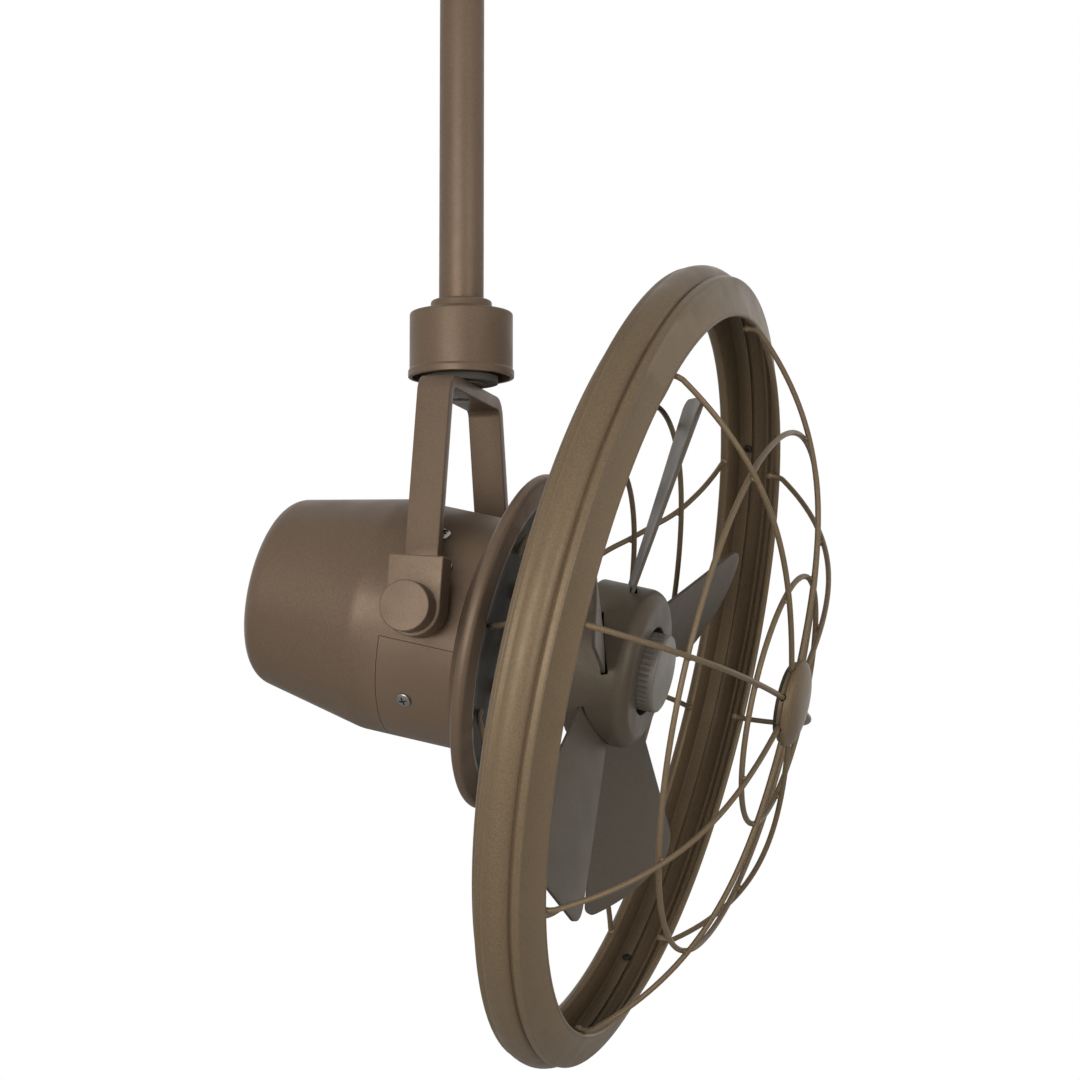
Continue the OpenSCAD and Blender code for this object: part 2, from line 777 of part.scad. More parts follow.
module stud_holes() {
    translate([0, 0, pivot_z]) bar_y(stud_r + running_gap, -housing_r - over, housing_r + over);
}

module rear_housing() {
    color(bronze) difference() {
        head() difference() {
            spun_sheet(housing_path, housing_wall);
            lower_wedge(lower_cover_half, -lower_cover_back);
            at_housing_screws() bar_x(screw_r + screw_gap, housing_r - housing_wall - over, housing_r + over);
        }
        stud_holes();
    }
}

module lower_cover() {
    gap_angle = seat_gap / housing_r * 180 / PI;
    color(bronze) head() difference() {
        intersection() {
            spun_sheet([[housing_mid_r, seat_gap - lower_cover_back], [housing_mid_r, housing_front]], housing_wall);
            lower_wedge(lower_cover_half - gap_angle, -lower_cover_back);
        }
        at_housing_screws() bar_x(screw_r + screw_gap, housing_r - housing_wall - over, housing_r + over);
    }
}

module housing_screws() {
    color(black_steel) head() at_housing_screws()
        translate([housing_r + running_gap, 0, 0]) rotate([0, 90, 0]) pan_screw(housing_screw_len);
}

// Motor frame: a tube with a thick front ring and a rear wall that holds a bearing
module motor_frame() {
    bore_r = frame_r - frame_wall;
    seat = bearing_r + running_gap;
    ring_back_s = frame_front_s - frame_ring_len;
    color(black_steel) difference() {
        head() difference() {
            rotate_extrude() polygon([
                [seat, bearing_back_s], [seat + 5, bearing_back_s], [seat + 5, -frame_back - end_wall],
                [frame_r, -frame_back - end_wall], [frame_r, ring_back_s], [frame_ring_r, ring_back_s],
                [frame_ring_r, frame_front_s], [bore_r, frame_front_s], [bore_r, -frame_back],
                [seat, -frame_back]
            ]);
            at_housing_screws() bar_x(screw_r + running_gap, frame_r, housing_r);
        }
        stud_holes();
    }
}

module motor_front_plate() {
    seat = bearing_r + running_gap;
    color(black_steel) head() difference() {
        rotate_extrude() polygon([
            [seat, housing_front - bearing_w], [seat + 5, housing_front - bearing_w],
            [seat + 5, housing_front - end_wall], [frame_ring_r, housing_front - end_wall],
            [frame_ring_r, housing_front], [seat, housing_front]
        ]);
        at_plate_screws() bar_z(screw_r + running_gap, housing_front - end_wall - over, housing_front + over);
    }
}

// Stator core with its teeth
stack_back_s = stack_s - stack_len / 2;
stack_front_s = stack_s + stack_len / 2;
stator_r = frame_r - frame_wall - running_gap;

module stator_core() {
    slot_depth = (stator_r - stator_bore_r) * 0.55;
    color(zinc) head() difference() {
        bar_z(stator_r, stack_back_s, stack_front_s);
        bar_z(stator_bore_r, stack_back_s - over, stack_front_s + over);
        for (i = [0 : teeth - 1]) rotate([0, 0, 360 * i / teeth])
            block(
                [stator_bore_r - over, -2.5, stack_back_s - over],
                [stator_bore_r + slot_depth, 2.5, stack_front_s + over]
            );
    }
}

module stator_windings() {
    inner = stator_bore_r + 4;
    outer = stator_r - 6;
    color(copper) head() for (end = [stack_back_s - 6 - running_gap, stack_front_s + running_gap])
        difference() {
            bar_z(outer, end, end + 6);
            bar_z(inner, end - over, end + 6 + over);
        }
}

module bearings() {
    color(zinc) head() for (back = [bearing_back_s, housing_front - bearing_w]) difference() {
        bar_z(bearing_r, back, back + bearing_w);
        bar_z(shaft_r + running_gap, back - over, back + bearing_w + over);
    }
}

module capacitor() {
    front = -frame_back - end_wall - seat_gap;
    low = bearing_r + 7;
    color(black_steel) head()
        block([low, -capacitor_len / 2, front - capacitor_t], [low + 20, capacitor_len / 2, front]);
}

// Shaft with a threaded front end, and the rotor core on it
thread_r = shaft_r - 1;
shaft_end_s = nut_front_s - 5;
drive_pin_s = recess_floor_s - 6.5;

module motor_shaft() {
    color(zinc) head() difference() {
        union() {
            bar_z(shaft_r, bearing_back_s - 1, recess_floor_s);
            bar_z(thread_r, bearing_back_s, shaft_end_s);
        }
        translate([0, 0, drive_pin_s]) bar_y(drive_pin_r + running_gap, -shaft_r - over, shaft_r + over);
    }
}

module rotor_core() {
    color(black_steel) head() difference() {
        bar_z(stator_bore_r - air_gap, stack_back_s, stack_front_s);
        bar_z(shaft_r + running_gap, stack_back_s - over, stack_front_s + over);
    }
}

// Dish: a pie-shaped pan in front of the housing with a turned-in lip
dish_seat_r = frame_ring_r - 2;
dish_edge = housing_front + dish_edge_s;
dish_lip = housing_front + dish_lip_s;
dish_flat_s = dish_back_s + dish_wall / 2;

module dish() {
    path = concat(
        [[bearing_r + 8, dish_flat_s], [dish_seat_r, dish_flat_s], [dish_seat_r + 8, dish_flat_s + 0.8]],
        bend([dish_seat_r + 8, dish_flat_s + 0.8], [dish_r - 1, dish_edge - 3.5], [dish_r - 0.6, dish_edge], 4, 3),
        bend([dish_r - 0.6, dish_edge - 2], [dish_r - 0.6, dish_edge + 2], [dish_lip_r + 3, dish_lip], 3, 4),
        bend([dish_r - 1, dish_edge + 2], [dish_lip_r + 3, dish_lip], [dish_lip_r, dish_lip - 0.2], 1, 3),
        [[dish_lip_r, dish_lip - 0.2]]
    );
    color(bronze) head() difference() {
        spun_sheet(path, dish_wall);
        at_plate_screws() bar_z(screw_r + screw_gap, dish_back_s - over, dish_flat_s + over);
    }
}

// Recessed plate inside the dish, under its lip
plate_screw_r = 40;
plate_screw_count = 4;

module at_plate_screws() {
    for (i = [0 : plate_screw_count - 1]) at_phi(45 + 360 * i / plate_screw_count)
        translate([plate_screw_r, 0, 0]) children();
}

module recess_plate() {
    edge_s = dish_lip - 0.2 - dish_wall - seat_gap;
    color(dark_bronze) head() difference() {
        spun_sheet(
            [[plate_hole_r, recess_s], [dish_lip_r - 18, recess_s], [dish_lip_r - 6, recess_s + 0.9],
                [dish_lip_r + 1.5, edge_s]],
            dish_wall
        );
        at_plate_screws() bar_z(screw_r + screw_gap, recess_s - over, recess_s + over);
    }
}

// Long screws with spacer sleeves that hold plate, dish and motor together
module plate_screws() {
    plate_front = recess_s + dish_wall / 2 + running_gap;
    sleeve_top = recess_s - dish_wall / 2 - running_gap;
    color(black_steel) head() at_plate_screws() {
        translate([0, 0, plate_front]) pan_screw(plate_front - housing_front + end_wall);
        bar_z(screw_r * 2, dish_flat_s + dish_wall / 2 + running_gap, sleeve_top);
    }
}

// Rear ring of the guard: rolled bead, web and flange
flange_s = ring_s + flange_w;
bead_r = bead_edge_r + bead_roll;

module rear_ring() {
    path = concat(
        [[bead_r + bead_roll * 0.9, bead_s + bead_roll * 0.4], [flange_mid_r - 8, ring_s - 1.8]],
        bend([flange_mid_r - 8, ring_s - 1.8], [flange_mid_r, ring_s], [flange_mid_r, flange_s], 1.5, 3),
        [[flange_mid_r, flange_s]]
    );
    color(bronze) head() difference() {
        union() {
            spun_sheet(path, ring_wall);
            rotate_extrude() translate([bead_r, bead_s]) circle(r = bead_roll, $fn = 32);
        }
        at_ring_screws() bar_x(ring_screw_r + running_gap, ring_r - 12, ring_r);
    }
}

// Front ring of the guard: a rounded band that laps over the flange, a groove and a sloping face
lap_r = flange_mid_r + ring_wall + seat_gap;
lap_s = flange_s - ring_lap;
lip_mid_r = lip_r + lip_roll;
band_r = ring_r - ring_wall / 2;
slope_top = [band_r - 7.2, lap_s + band_w];

// Band and groove of the front ring: share of the band's width, depth below the band's top
band_shape = [
    [0.07, 0.6], [0.16, 0.15], [0.25, 0], [0.39, 0.5], [0.56, 2], [0.67, 4.2],
    [0.7, 5.3], [0.745, 4.6], [0.82, 3.7], [0.915, 3.9], [0.97, 4.8]
];

module front_ring() {
    path = concat(
        [[lap_r, lap_s]],
        [for (point = band_shape) [band_r - point[1], lap_s + point[0] * band_w]],
        [slope_top, ([lip_mid_r, lip_s - 0.8] + slope_top) / 2, [lip_mid_r + 0.6, lip_s + lip_roll / 2]]
    );
    color(bronze) head() difference() {
        union() {
            spun_sheet(path, ring_wall);
            rotate_extrude() translate([lip_mid_r, lip_s]) circle(r = lip_roll, $fn = 32);
        }
        at_ring_screws() bar_x(ring_screw_r + running_gap, ring_r - 12, band_r - 0.3);
    }
}

ring_screw_count = 4;
ring_screw_r = 1.5;
ring_screw_s = lap_s + 1.8;

module at_ring_screws() {
    for (i = [0 : ring_screw_count - 1]) at_phi(spoke_turn + 45 + 360 * i / ring_screw_count)
        translate([0, 0, ring_screw_s]) children();
}

module ring_screws() {
    head_under = flange_mid_r - ring_wall / 2 - seat_gap;
    color(dark_bronze) head() at_ring_screws()
        translate([head_under, 0, 0]) rotate([0, -90, 0]) pan_screw(band_r - 0.4 - head_under, ring_screw_r, 2.6);
}

// Rear guard: spokes from the recessed plate to the bead
rear_start = [dish_lip_r + 3.5, dish_lip + 9];
rear_end = [bead_edge_r - seat_gap, bead_s];
rear_shape = [
    [0, 0], [0.13, 0.18], [0.22, 0.33], [0.34, 0.51], [0.5, 0.74], [0.67, 0.88], [0.85, 0.965], [1, 1]
];
rear_curve = concat(
    [[dish_lip_r - 19.5, spoke_root_s], [dish_lip_r - 14.5, spoke_root_s + 0.8]],
    [for (share = rear_shape) [
        rear_start[0] + (rear_end[0] - rear_start[0]) * share[0],
        rear_start[1] + (rear_end[1] - rear_start[1]) * share[1]
    ]]
);

module rear_spokes() {
    color(bronze) head() for (i = [0 : spokes - 1])
        at_phi(spoke_turn + 360 * i / spokes) wire(rear_curve, wire_r);
}

// Distance along s between a spoke's middle and that of a wire ring that lies on it
function ring_step(slope) = (wire_d + 4 * running_gap) * sqrt(1 + slope * slope);

module wire_ring(radius, s) {
    translate([0, 0, s]) rotate_extrude() translate([radius, 0]) circle(r = wire_r, $fn = 32);
}

module rear_wire_rings() {
    color(bronze) head() for (radius = [rear_ring_r, rear_ring_small_r]) {
        slope = (along(rear_curve, radius + 3) - along(rear_curve, radius - 3)) / 6;
        wire_ring(radius, along(rear_curve, radius) + ring_step(slope));
    }
}

// Front guard: a dome of spokes from the cap to the rolled lip
dome_end_r = lip_r - wire_r - running_gap;
function dome(r) = dome_s - dome_round * pow(r / lip_r, 2) - dome_steep * pow(r / lip_r, 4);
function dome_slope(r) = -2 * dome_round * r / pow(lip_r, 2) - 4 * dome_steep * pow(r, 3) / pow(lip_r, 4);
spoke_in_r = cap_in_r - 1;
dome_steps = 12;

module front_spokes() {
    curved_r = dome_end_r - 1.5;
    path = concat(
        [for (i = [0 : dome_steps])
            let (r = spoke_in_r + (curved_r - spoke_in_r) * i / dome_steps) [r, dome(r)]],
        [[dome_end_r, dome(dome_end_r) - 1.8], [dome_end_r, lip_s - lip_roll * 2]]
    );
    color(bronze) head() for (i = [0 : spokes - 1])
        at_phi(spoke_turn + 360 * i / spokes) wire(path, wire_r);
}

module front_wire_rings() {
    color(bronze) head() for (radius = [front_ring_r, front_ring_small_r])
        wire_ring(radius, dome(radius) - ring_step(dome_slope(radius)));
}

// Middle cap of the front guard, notched for the spokes
module guard_cap() {
    skirt_r = cap_in_r + cap_wall;
    top = [for (turn = [0 : 11.25 : 90]) [cap_r * cos(turn), cap_rim_s + cap_dome_h * sin(turn)]];
    color(bronze) head() difference() {
        rotate_extrude() polygon(concat(
            [[cap_in_r, cap_back_s], [skirt_r, cap_back_s], [skirt_r, cap_rim_s - 2.5]],
            [[cap_r, cap_rim_s - 1.5]], top, [[0, cap_rim_s - 0.5], [cap_in_r, cap_rim_s - 0.5]]
        ));
        for (i = [0 : spokes - 1]) at_phi(spoke_turn + 360 * i / spokes)
            translate([0, 0, dome_s - 0.3]) bar_x(wire_r + 0.6, cap_in_r - over, cap_r + over);
        bar_z(screw_r + running_gap, cap_back_s, cap_rim_s + 2);
    }
}

module cap_plate() {
    color(dark_bronze) head() difference() {
        bar_z(cap_in_r - seat_gap, cap_plate_s, dome_s - wire_r - seat_gap - 0.4);
        bar_z(screw_r + screw_gap, cap_plate_s - over, dome_s);
    }
}

module cap_screw() {
    color(black_steel) head() translate([0, 0, cap_plate_s - running_gap])
        rotate([180, 0, 0]) pan_screw(cap_rim_s - cap_plate_s + 1.5);
}

// Drum with a rounded front edge, a recess for the nut and slots for the blade roots
module hub_drum() {
    inside_r = drum_r - drum_wall;
    shaft_hole = shaft_r + running_gap;
    boss_r = 16;
    floor_back = recess_floor_s - 3;
    boss_back = recess_floor_s - 7;
    outline = concat(
        [[inside_r, drum_back_s], [drum_r, drum_back_s]],
        bend([drum_r, drum_back_s], [drum_r, drum_front_s], [recess_r, drum_front_s], 8, 6),
        [[recess_r, drum_front_s], [recess_r, recess_floor_s], [shaft_hole, recess_floor_s],
            [shaft_hole, boss_back], [boss_r, boss_back], [boss_r, floor_back], [recess_r + drum_wall, floor_back],
            [recess_r + drum_wall, drum_front_s - 4], [inside_r - 6, drum_front_s - 4], [inside_r, drum_front_s - 10]]
    );
    color(dark_bronze) head() difference() {
        union() {
            rotate_extrude() polygon(outline);
            at_hub_screws() bar_z(4, drum_back_s + hub_plate_t + seat_gap, drum_front_s - 4);
        }
        for (i = [0 : blades - 1]) at_phi(blade_turn + 360 * i / blades) root_slot();
        block(
            [-drive_pin_r - running_gap, -boss_r - over, boss_back - over],
            [drive_pin_r + running_gap, boss_r + over, drive_pin_s + drive_pin_r + running_gap]
        );
        at_hub_screws() bar_z(hub_screw_shank_r + running_gap, drum_back_s, drum_front_s - 8);
    }
}

// Slot in the drum's wall that a blade's root passes with a small gap
module root_slot() {
    slot_h = blade_t + camber * pow(root_half / tip_half, 2) + 2 * seat_gap + 0.4;
    translate([0, 0, root_s - camber * pow(root_half / tip_half, 2) / 2])
        rotate([root_pitch, 0, 0])
            block(
                [root_in_r - over, -root_half - 0.6, -slot_h / 2],
                [drum_r + over, root_half + 0.6, slot_h / 2]
            );
}

hub_screw_r = 35;
hub_screw_shank_r = 1.5;
hub_plate_t = 3;

module at_hub_screws() {
    for (i = [0 : blades - 1]) at_phi(blade_turn + 36 + 360 * i / blades)
        translate([hub_screw_r, 0, 0]) children();
}

// Plate that closes the drum's back
module hub_plate() {
    color(black_steel) head() difference() {
        bar_z(drum_r - drum_wall - seat_gap, drum_back_s, drum_back_s + hub_plate_t);
        bar_z(shaft_r + screw_gap, drum_back_s - over, drum_back_s + hub_plate_t + over);
        at_hub_screws()
            bar_z(hub_screw_shank_r + screw_gap, drum_back_s - over, drum_back_s + hub_plate_t + over);
    }
}

module hub_screws() {
    color(black_steel) head() at_hub_screws() translate([0, 0, drum_back_s - running_gap])
        rotate([180, 0, 0]) pan_screw(hub_plate_t + 10, hub_screw_shank_r, 3);
}

module drive_pin() {
    color(zinc) head() translate([0, 0, drive_pin_s]) bar_y(drive_pin_r, -14, 14);
}

// Ribbed nut with a blind thread hole
module blade_nut() {
    rib_r = 0.7;
    body_r = nut_r - rib_r;
    color(dark_bronze) head() difference() {
        union() {
            bar_z(body_r, nut_back_s, nut_front_s - 1.5);
            translate([0, 0, nut_front_s - 1.5]) cylinder(r1 = body_r, r2 = body_r - 1.5, h = 1.5);
            for (i = [0 : nut_ribs - 1]) rotate([0, 0, 360 * i / nut_ribs])
                translate([body_r, 0, 0]) bar_z(rib_r, nut_back_s, nut_front_s - 2);
        }
        bar_z(thread_r + running_gap, nut_back_s - over, shaft_end_s + 1);
    }
}

// Blade: a hollowed, twisted sheet whose forward edge is the one at larger angles
root_r = drum_r - 2;
root_in_r = drum_r - drum_wall - 4;
tip_crown = 3.6;
blade_rows = 7;
blade_columns = 14;

function tip_corner(t) =
    let (round = t > 0 ? tip_round : tip_round_back)
    let (past = max(0, abs(t) - tip_half + round))
    round - sqrt(max(0, round * round - past * past));

function blade_point(row, column, face) =
    let (u = sin(180 * column / blade_columns - 90))
    let (end_r = tip_r - tip_crown * u * u - tip_corner(u * tip_half))
    let (x = root_in_r + (end_r - root_in_r) * row / blade_rows)
    let (f = (x - root_r) / (tip_r - root_r))
    let (t = u * (root_half + (tip_half - root_half) * f) - tip_sweep * f)
    let (pitch = root_pitch + (tip_pitch - root_pitch) * f)
    let (half_t = blade_t / 2 * (1 - 0.5 * pow(u, 4)) * (1 - 0.3 * f))
    let (hollow = camber * pow(t / tip_half, 2))
    [x, t * cos(pitch), root_s + tip_ahead * f + t * sin(pitch) - hollow + face * half_t];

module blade(number) {
    wide = blade_columns + 1;
    size = wide * (blade_rows + 1);
    points = [for (face = [1, -1], row = [0 : blade_rows], column = [0 : blade_columns])
        blade_point(row, column, face)
    ];
    function cell(row, column) = row * wide + column;
    front = [for (row = [0 : blade_rows - 1], column = [0 : blade_columns - 1], half = [0, 1])
        let (a = cell(row, column), b = cell(row, column + 1))
        half == 0 ? [a, b, a + wide] : [b, b + wide, a + wide]
    ];
    back = [for (tri = front) [tri[0] + size, tri[2] + size, tri[1] + size]];
    rim = concat(
        [for (column = [0 : blade_columns]) cell(0, column)],
        [for (row = [1 : blade_rows]) cell(row, blade_columns)],
        [for (column = [blade_columns - 1 : -1 : 0]) cell(blade_rows, column)],
        [for (row = [blade_rows - 1 : -1 : 1]) cell(row, 0)]
    );
    edges = [for (i = [0 : len(rim) - 1], half = [0, 1])
        let (a = rim[i], b = rim[(i + 1) % len(rim)])
        half == 0 ? [a, a + size, b] : [b, a + size, b + size]
    ];
    color(blade_brown) head() at_phi(blade_turn + 360 * (number - 1) / blades)
        polyhedron(points = points, faces = concat(front, back, edges), convexity = 4);
}

hanger_bracket();
hanger_ball();
ball_pin();
canopy();
canopy_screws();
downrod();
rod_pin();
rod_set_screws();
coupling();
coupling_cover();
cover_set_screw();
swivel_bolt();
friction_washer();
yoke_bar();
lug_left();
lug_right();
tilt_studs();
knob_left();
knob_right();
rear_housing();
lower_cover();
housing_screws();
motor_frame();
motor_front_plate();
stator_core();
stator_windings();
bearings();
capacitor();
motor_shaft();
rotor_core();
dish();
recess_plate();
plate_screws();
rear_ring();
rear_spokes();
rear_wire_rings();
front_ring();
front_spokes();
front_wire_rings();
ring_screws();
guard_cap();
cap_plate();
cap_screw();
hub_drum();
hub_plate();
hub_screws();
drive_pin();
blade_nut();
blade(1);  // blade_1
blade(2);  // blade_2
blade(3);  // blade_3
blade(4);  // blade_4
blade(5);  // blade_5
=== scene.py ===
# Outdoor ceiling fan on a downrod: a caged head that tilts in a flat-bar yoke.
# Sizes are in millimetres. Head pieces are made round +Z as the motor axis, with +X down.
from math import cos, degrees, pi, radians, sin, sqrt, tan

import bmesh
import bpy
from mathutils import Matrix, Vector, noise


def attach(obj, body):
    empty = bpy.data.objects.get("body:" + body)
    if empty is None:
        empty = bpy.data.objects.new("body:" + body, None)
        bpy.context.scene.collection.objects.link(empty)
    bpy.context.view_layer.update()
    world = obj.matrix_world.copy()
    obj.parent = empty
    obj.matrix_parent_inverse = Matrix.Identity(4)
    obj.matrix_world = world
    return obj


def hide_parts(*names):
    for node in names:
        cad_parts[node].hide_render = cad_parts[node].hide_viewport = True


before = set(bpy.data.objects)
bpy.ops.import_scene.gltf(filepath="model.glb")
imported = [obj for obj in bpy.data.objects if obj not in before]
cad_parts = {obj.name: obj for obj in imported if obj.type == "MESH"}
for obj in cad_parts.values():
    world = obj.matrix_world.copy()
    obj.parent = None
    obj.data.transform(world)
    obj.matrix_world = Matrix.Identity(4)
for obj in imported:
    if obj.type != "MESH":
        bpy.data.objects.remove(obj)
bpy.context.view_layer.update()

# Sizes along the rod's axis
CANOPY_R, CANOPY_H, CANOPY_WALL, CANOPY_ROUND, CANOPY_HOLE_R = 70, 62, 1.5, 24, 17
ROD_R, ROD_WALL, ROD_TOP_Z, ROD_END_Z = 13.35, 2.4, -22, -326.8
COVER_Z, COVER_R, COVER_SIDE_H, COVER_DOME_H, COVER_WALL = -334.8, 30.8, 39, 2.5, 1.5
COVER_BEAD, COVER_BEAD_H, COLLAR_R, COLLAR_H = 0.8, 4, 18.1, 5
CANOPY_SCREW_Z = -10

# Sizes of the yoke, its lugs and the knobs
BAR_TOP_Z, BAR_T, BAR_W = -339.8, 8, 20
SHOULDER_Y, LEG_Y, SHOULDER_ROUND, KNEE_ROUND = 50.4, 74, 9, 24
PIVOT_Z, KNEE_UP, LEG_BELOW = -480.3, 32.5, 11
LUG_INNER_Y, LUG_FACE_Y, LUG_W, LUG_H, LUG_LEAN = 78.3, 95, 32.5, 30, 4.3
KNOB_Y, KNOB_R, KNOB_LEN = 95.3, 14.6, 14.7
BOLT_R, BOLT_HEAD_R, STUD_R = 5, 9, 4

# Sizes of the motor housing and the dish
HEAD_TILT, AXIS_DROP, PIVOT_BACK = 13.24, 4.48, 1.05
HOUSING_R, HOUSING_WALL, HOUSING_FRONT = 69.5, 2.5, 20
TAPER_S, TAPER_ROUND, REAR_S, REAR_R, REAR_ROUND = -44.9, 30, -119, 54.3, 14
LOWER_COVER_S, LOWER_COVER_HALF, COVER_GAP = -25.8, 78, 0.35
DISH_R, DISH_EDGE_S, DISH_LIP_R, DISH_LIP_S, DISH_WALL = 100.3, 36.8, 85.5, 41, 1.2
DISH_HOLE_R, RECESS_S, PLATE_HOLE_R = 22, 36, 10

# Sizes of the guard
RING_R, RING_S, RING_WALL, FLANGE_W, FLANGE_DROP = 236.8, 99, 1.2, 8, 3.2
LAP_R, LAP_S = RING_R - FLANGE_DROP + RING_WALL + 0.3, 103.2
LIP_R, LIP_S, LIP_ROLL = 211.1, 130, 1.8
BEAD_R, BEAD_S, BEAD_ROLL = 217.5, 94.5, 3
WIRE_R, SPOKES, SPOKE_TURN = 1.65, 8, -3.5
DOME_S, DOME_ROUND, DOME_STEEP = 203.2, 23.1, 48.7
FRONT_RINGS, REAR_RINGS = (152, 72.5), (152.5, 116.5)
CAP_R, CAP_IN_R, CAP_SKIRT_R, CAP_RIM_H, CAP_DOME_H = 25, 21.5, 23.5, 4.5, 6.5

# Sizes of the blades and their hub
BLADES, BLADE_TURN, TIP_R, ROOT_R, ROOT_IN_R = 5, 6.06, 161.5, 45, 40
ROOT_HALF, TIP_HALF, TIP_SWEEP, TIP_ROUND, TIP_ROUND_BACK, TIP_CROWN = 18, 42, 12, 14, 7, 3.6
ROOT_PITCH, TIP_PITCH, TIP_AHEAD, CAMBER, BLADE_T = 19.5, 16.6, 20, 4.55, 2
DRUM_R, DRUM_WALL, DRUM_BACK_S, DRUM_FRONT_S, ROOT_S = 47, 3, 80.2, 118.2, 98.2
NUT_HOLE_R, NUT_HOLE_DEPTH, NUT_R, NUT_FRONT_S, NUT_RIBS = 26, 14, 23, 126.9, 40
SHAFT_R = 6

# Sizes of the small screws, and gaps
SCREW_R, SCREW_HEAD_R, SCREW_HEAD_H = 2, 4.6, 1.8
GAP = 0.3

MM = 0.001
WORLD = Matrix.Scale(MM, 4)
HEAD = (
    WORLD @ Matrix.Translation((0, 0, PIVOT_Z)) @ Matrix.Rotation(radians(90 + HEAD_TILT), 4, "Y")
    @ Matrix.Translation((AXIS_DROP, 0, PIVOT_BACK))
)


# Turn round the motor axis to the angle phi, from the top towards the -Y side
def at_phi(phi):
    return Matrix.Rotation(radians(180 + phi), 4, "Z")


# Outline through corners (r, s) or (r, s, radius), where a radius makes the corner an arc
def rounded(corners, steps=8):
    points = []
    for i, corner in enumerate(corners):
        here = Vector(corner[:2])
        if len(corner) < 3:
            points.append(here)
            continue
        back = (Vector(corners[i - 1][:2]) - here).normalized()
        ahead = (Vector(corners[(i + 1) % len(corners)][:2]) - here).normalized()
        half = back.angle(ahead) / 2
        radius = corner[2]
        centre = here + (back + ahead).normalized() * radius / sin(half)
        first = here + back * radius / tan(half) - centre
        last = here + ahead * radius / tan(half) - centre
        points += [centre + first.lerp(last, k / steps).normalized() * radius for k in range(steps + 1)]
    return points


# Closed outline of a sheet whose middle line is the path
def sheet(path, wall):
    left, right = [], []
    for i, point in enumerate(path):
        along = (path[min(i + 1, len(path) - 1)] - path[max(i - 1, 0)]).normalized()
        across = Vector((-along.y, along.x)) * wall / 2
        left.append(point + across)
        right.append(point - across)
    return left + right[::-1]


# Points of a rolled edge: a circle round (r, s)
def roll(r, s, radius, steps=24):
    turns = [2 * pi * k / steps for k in range(steps)]
    return [Vector((r + radius * cos(turn), s + radius * sin(turn))) for turn in turns]


# Surface turned round Z from an outline of (r, s) points, either closed or ending on the axis
def lathe(outline, steps=128, closed=True, angle=2 * pi):
    bm = bmesh.new()
    verts = [bm.verts.new((r, 0, s)) for r, s in outline]
    for a, b in zip(verts, verts[1:]):
        bm.edges.new((a, b))
    if closed:
        bm.edges.new((verts[-1], verts[0]))
    bmesh.ops.spin(
        bm, geom=bm.verts[:] + bm.edges[:], cent=(0, 0, 0), axis=(0, 0, 1), angle=angle, steps=steps,
        use_merge=angle == 2 * pi,
    )
    bmesh.ops.remove_doubles(bm, verts=bm.verts[:], dist=1e-4)
    bmesh.ops.recalc_face_normals(bm, faces=bm.faces[:])
    return bm


# Flat outline of (x, y) points made a plate that is thick along Z, from z = 0
def plate(outline, thick):
    bm = bmesh.new()
    face = bm.faces.new([bm.verts.new((x, y, 0)) for x, y in outline])
    grown = bmesh.ops.extrude_face_region(bm, geom=[face])
    moved = [item for item in grown["geom"] if isinstance(item, bmesh.types.BMVert)]
    bmesh.ops.translate(bm, vec=(0, 0, thick), verts=moved)
    bmesh.ops.recalc_face_normals(bm, faces=bm.faces[:])
    return bm


# Block between two corners, then turned and moved by a matrix
def block(low, high, place=Matrix.Identity(4)):
    low, high = Vector(low), Vector(high)
    bm = bmesh.new()
    size = Matrix.Diagonal((*(high - low), 1))
    bmesh.ops.create_cube(bm, size=1, matrix=place @ Matrix.Translation((low + high) / 2) @ size)
    return bm


# Round bar along Z between two heights, then turned and moved by a matrix
def round_bar(radius, low, high, place=Matrix.Identity(4), sides=48):
    bm = bmesh.new()
    bmesh.ops.create_cone(
        bm, cap_ends=True, segments=sides, radius1=radius, radius2=radius, depth=high - low,
        matrix=place @ Matrix.Translation((0, 0, (low + high) / 2)),
    )
    return bm


# Edges that meet at more than the given angle, in degrees, get a small round
def soften(bm, width, angle=40, segments=3):
    edges = [e for e in bm.edges if e.is_manifold and e.calc_face_angle() > radians(angle)]
    bmesh.ops.bevel(
        bm, geom=edges, offset=width, offset_type="OFFSET", affect="EDGES", segments=segments,
        profile=0.5, material=-1, clamp_overlap=True,
    )
    return bm


# Several meshes as one
def joined(*parts):
    whole = bmesh.new()
    for part in parts:
        mesh = bpy.data.meshes.new("part")
        part.to_mesh(mesh)
        part.free()
        whole.from_mesh(mesh)
        bpy.data.meshes.remove(mesh)
    return whole


# The same mesh at each of several places
def repeated(bm, places):
    mesh = bpy.data.meshes.new("part")
    bm.to_mesh(mesh)
    bm.free()
    whole = bmesh.new()
    for place in places:
        copy = mesh.copy()
        copy.transform(place)
        whole.from_mesh(copy)
        bpy.data.meshes.remove(copy)
    bpy.data.meshes.remove(mesh)
    return whole


# Object that holds a mesh while it is worked on
def blank(bm):
    mesh = bpy.data.meshes.new("blank")
    bm.to_mesh(mesh)
    bm.free()
    holder = bpy.data.objects.new("blank", mesh)
    bpy.context.scene.collection.objects.link(holder)
    return holder


# Mesh with the shape of a tool cut out of it, or kept inside it
def carve(bm, tool, operation="DIFFERENCE"):
    work, knife = blank(bm), blank(tool)
    cut = work.modifiers.new("cut", "BOOLEAN")
    cut.object = knife
    cut.operation = operation
    cut.solver = "EXACT"
    bpy.context.view_layer.update()
    mesh = bpy.data.meshes.new_from_object(work.evaluated_get(bpy.context.evaluated_depsgraph_get()))
    out = bmesh.new()
    out.from_mesh(mesh)
    for holder in (work, knife):
        bpy.data.meshes.remove(holder.data)
    bpy.data.meshes.remove(mesh)
    bmesh.ops.remove_doubles(out, verts=out.verts[:], dist=1e-4)
    return out


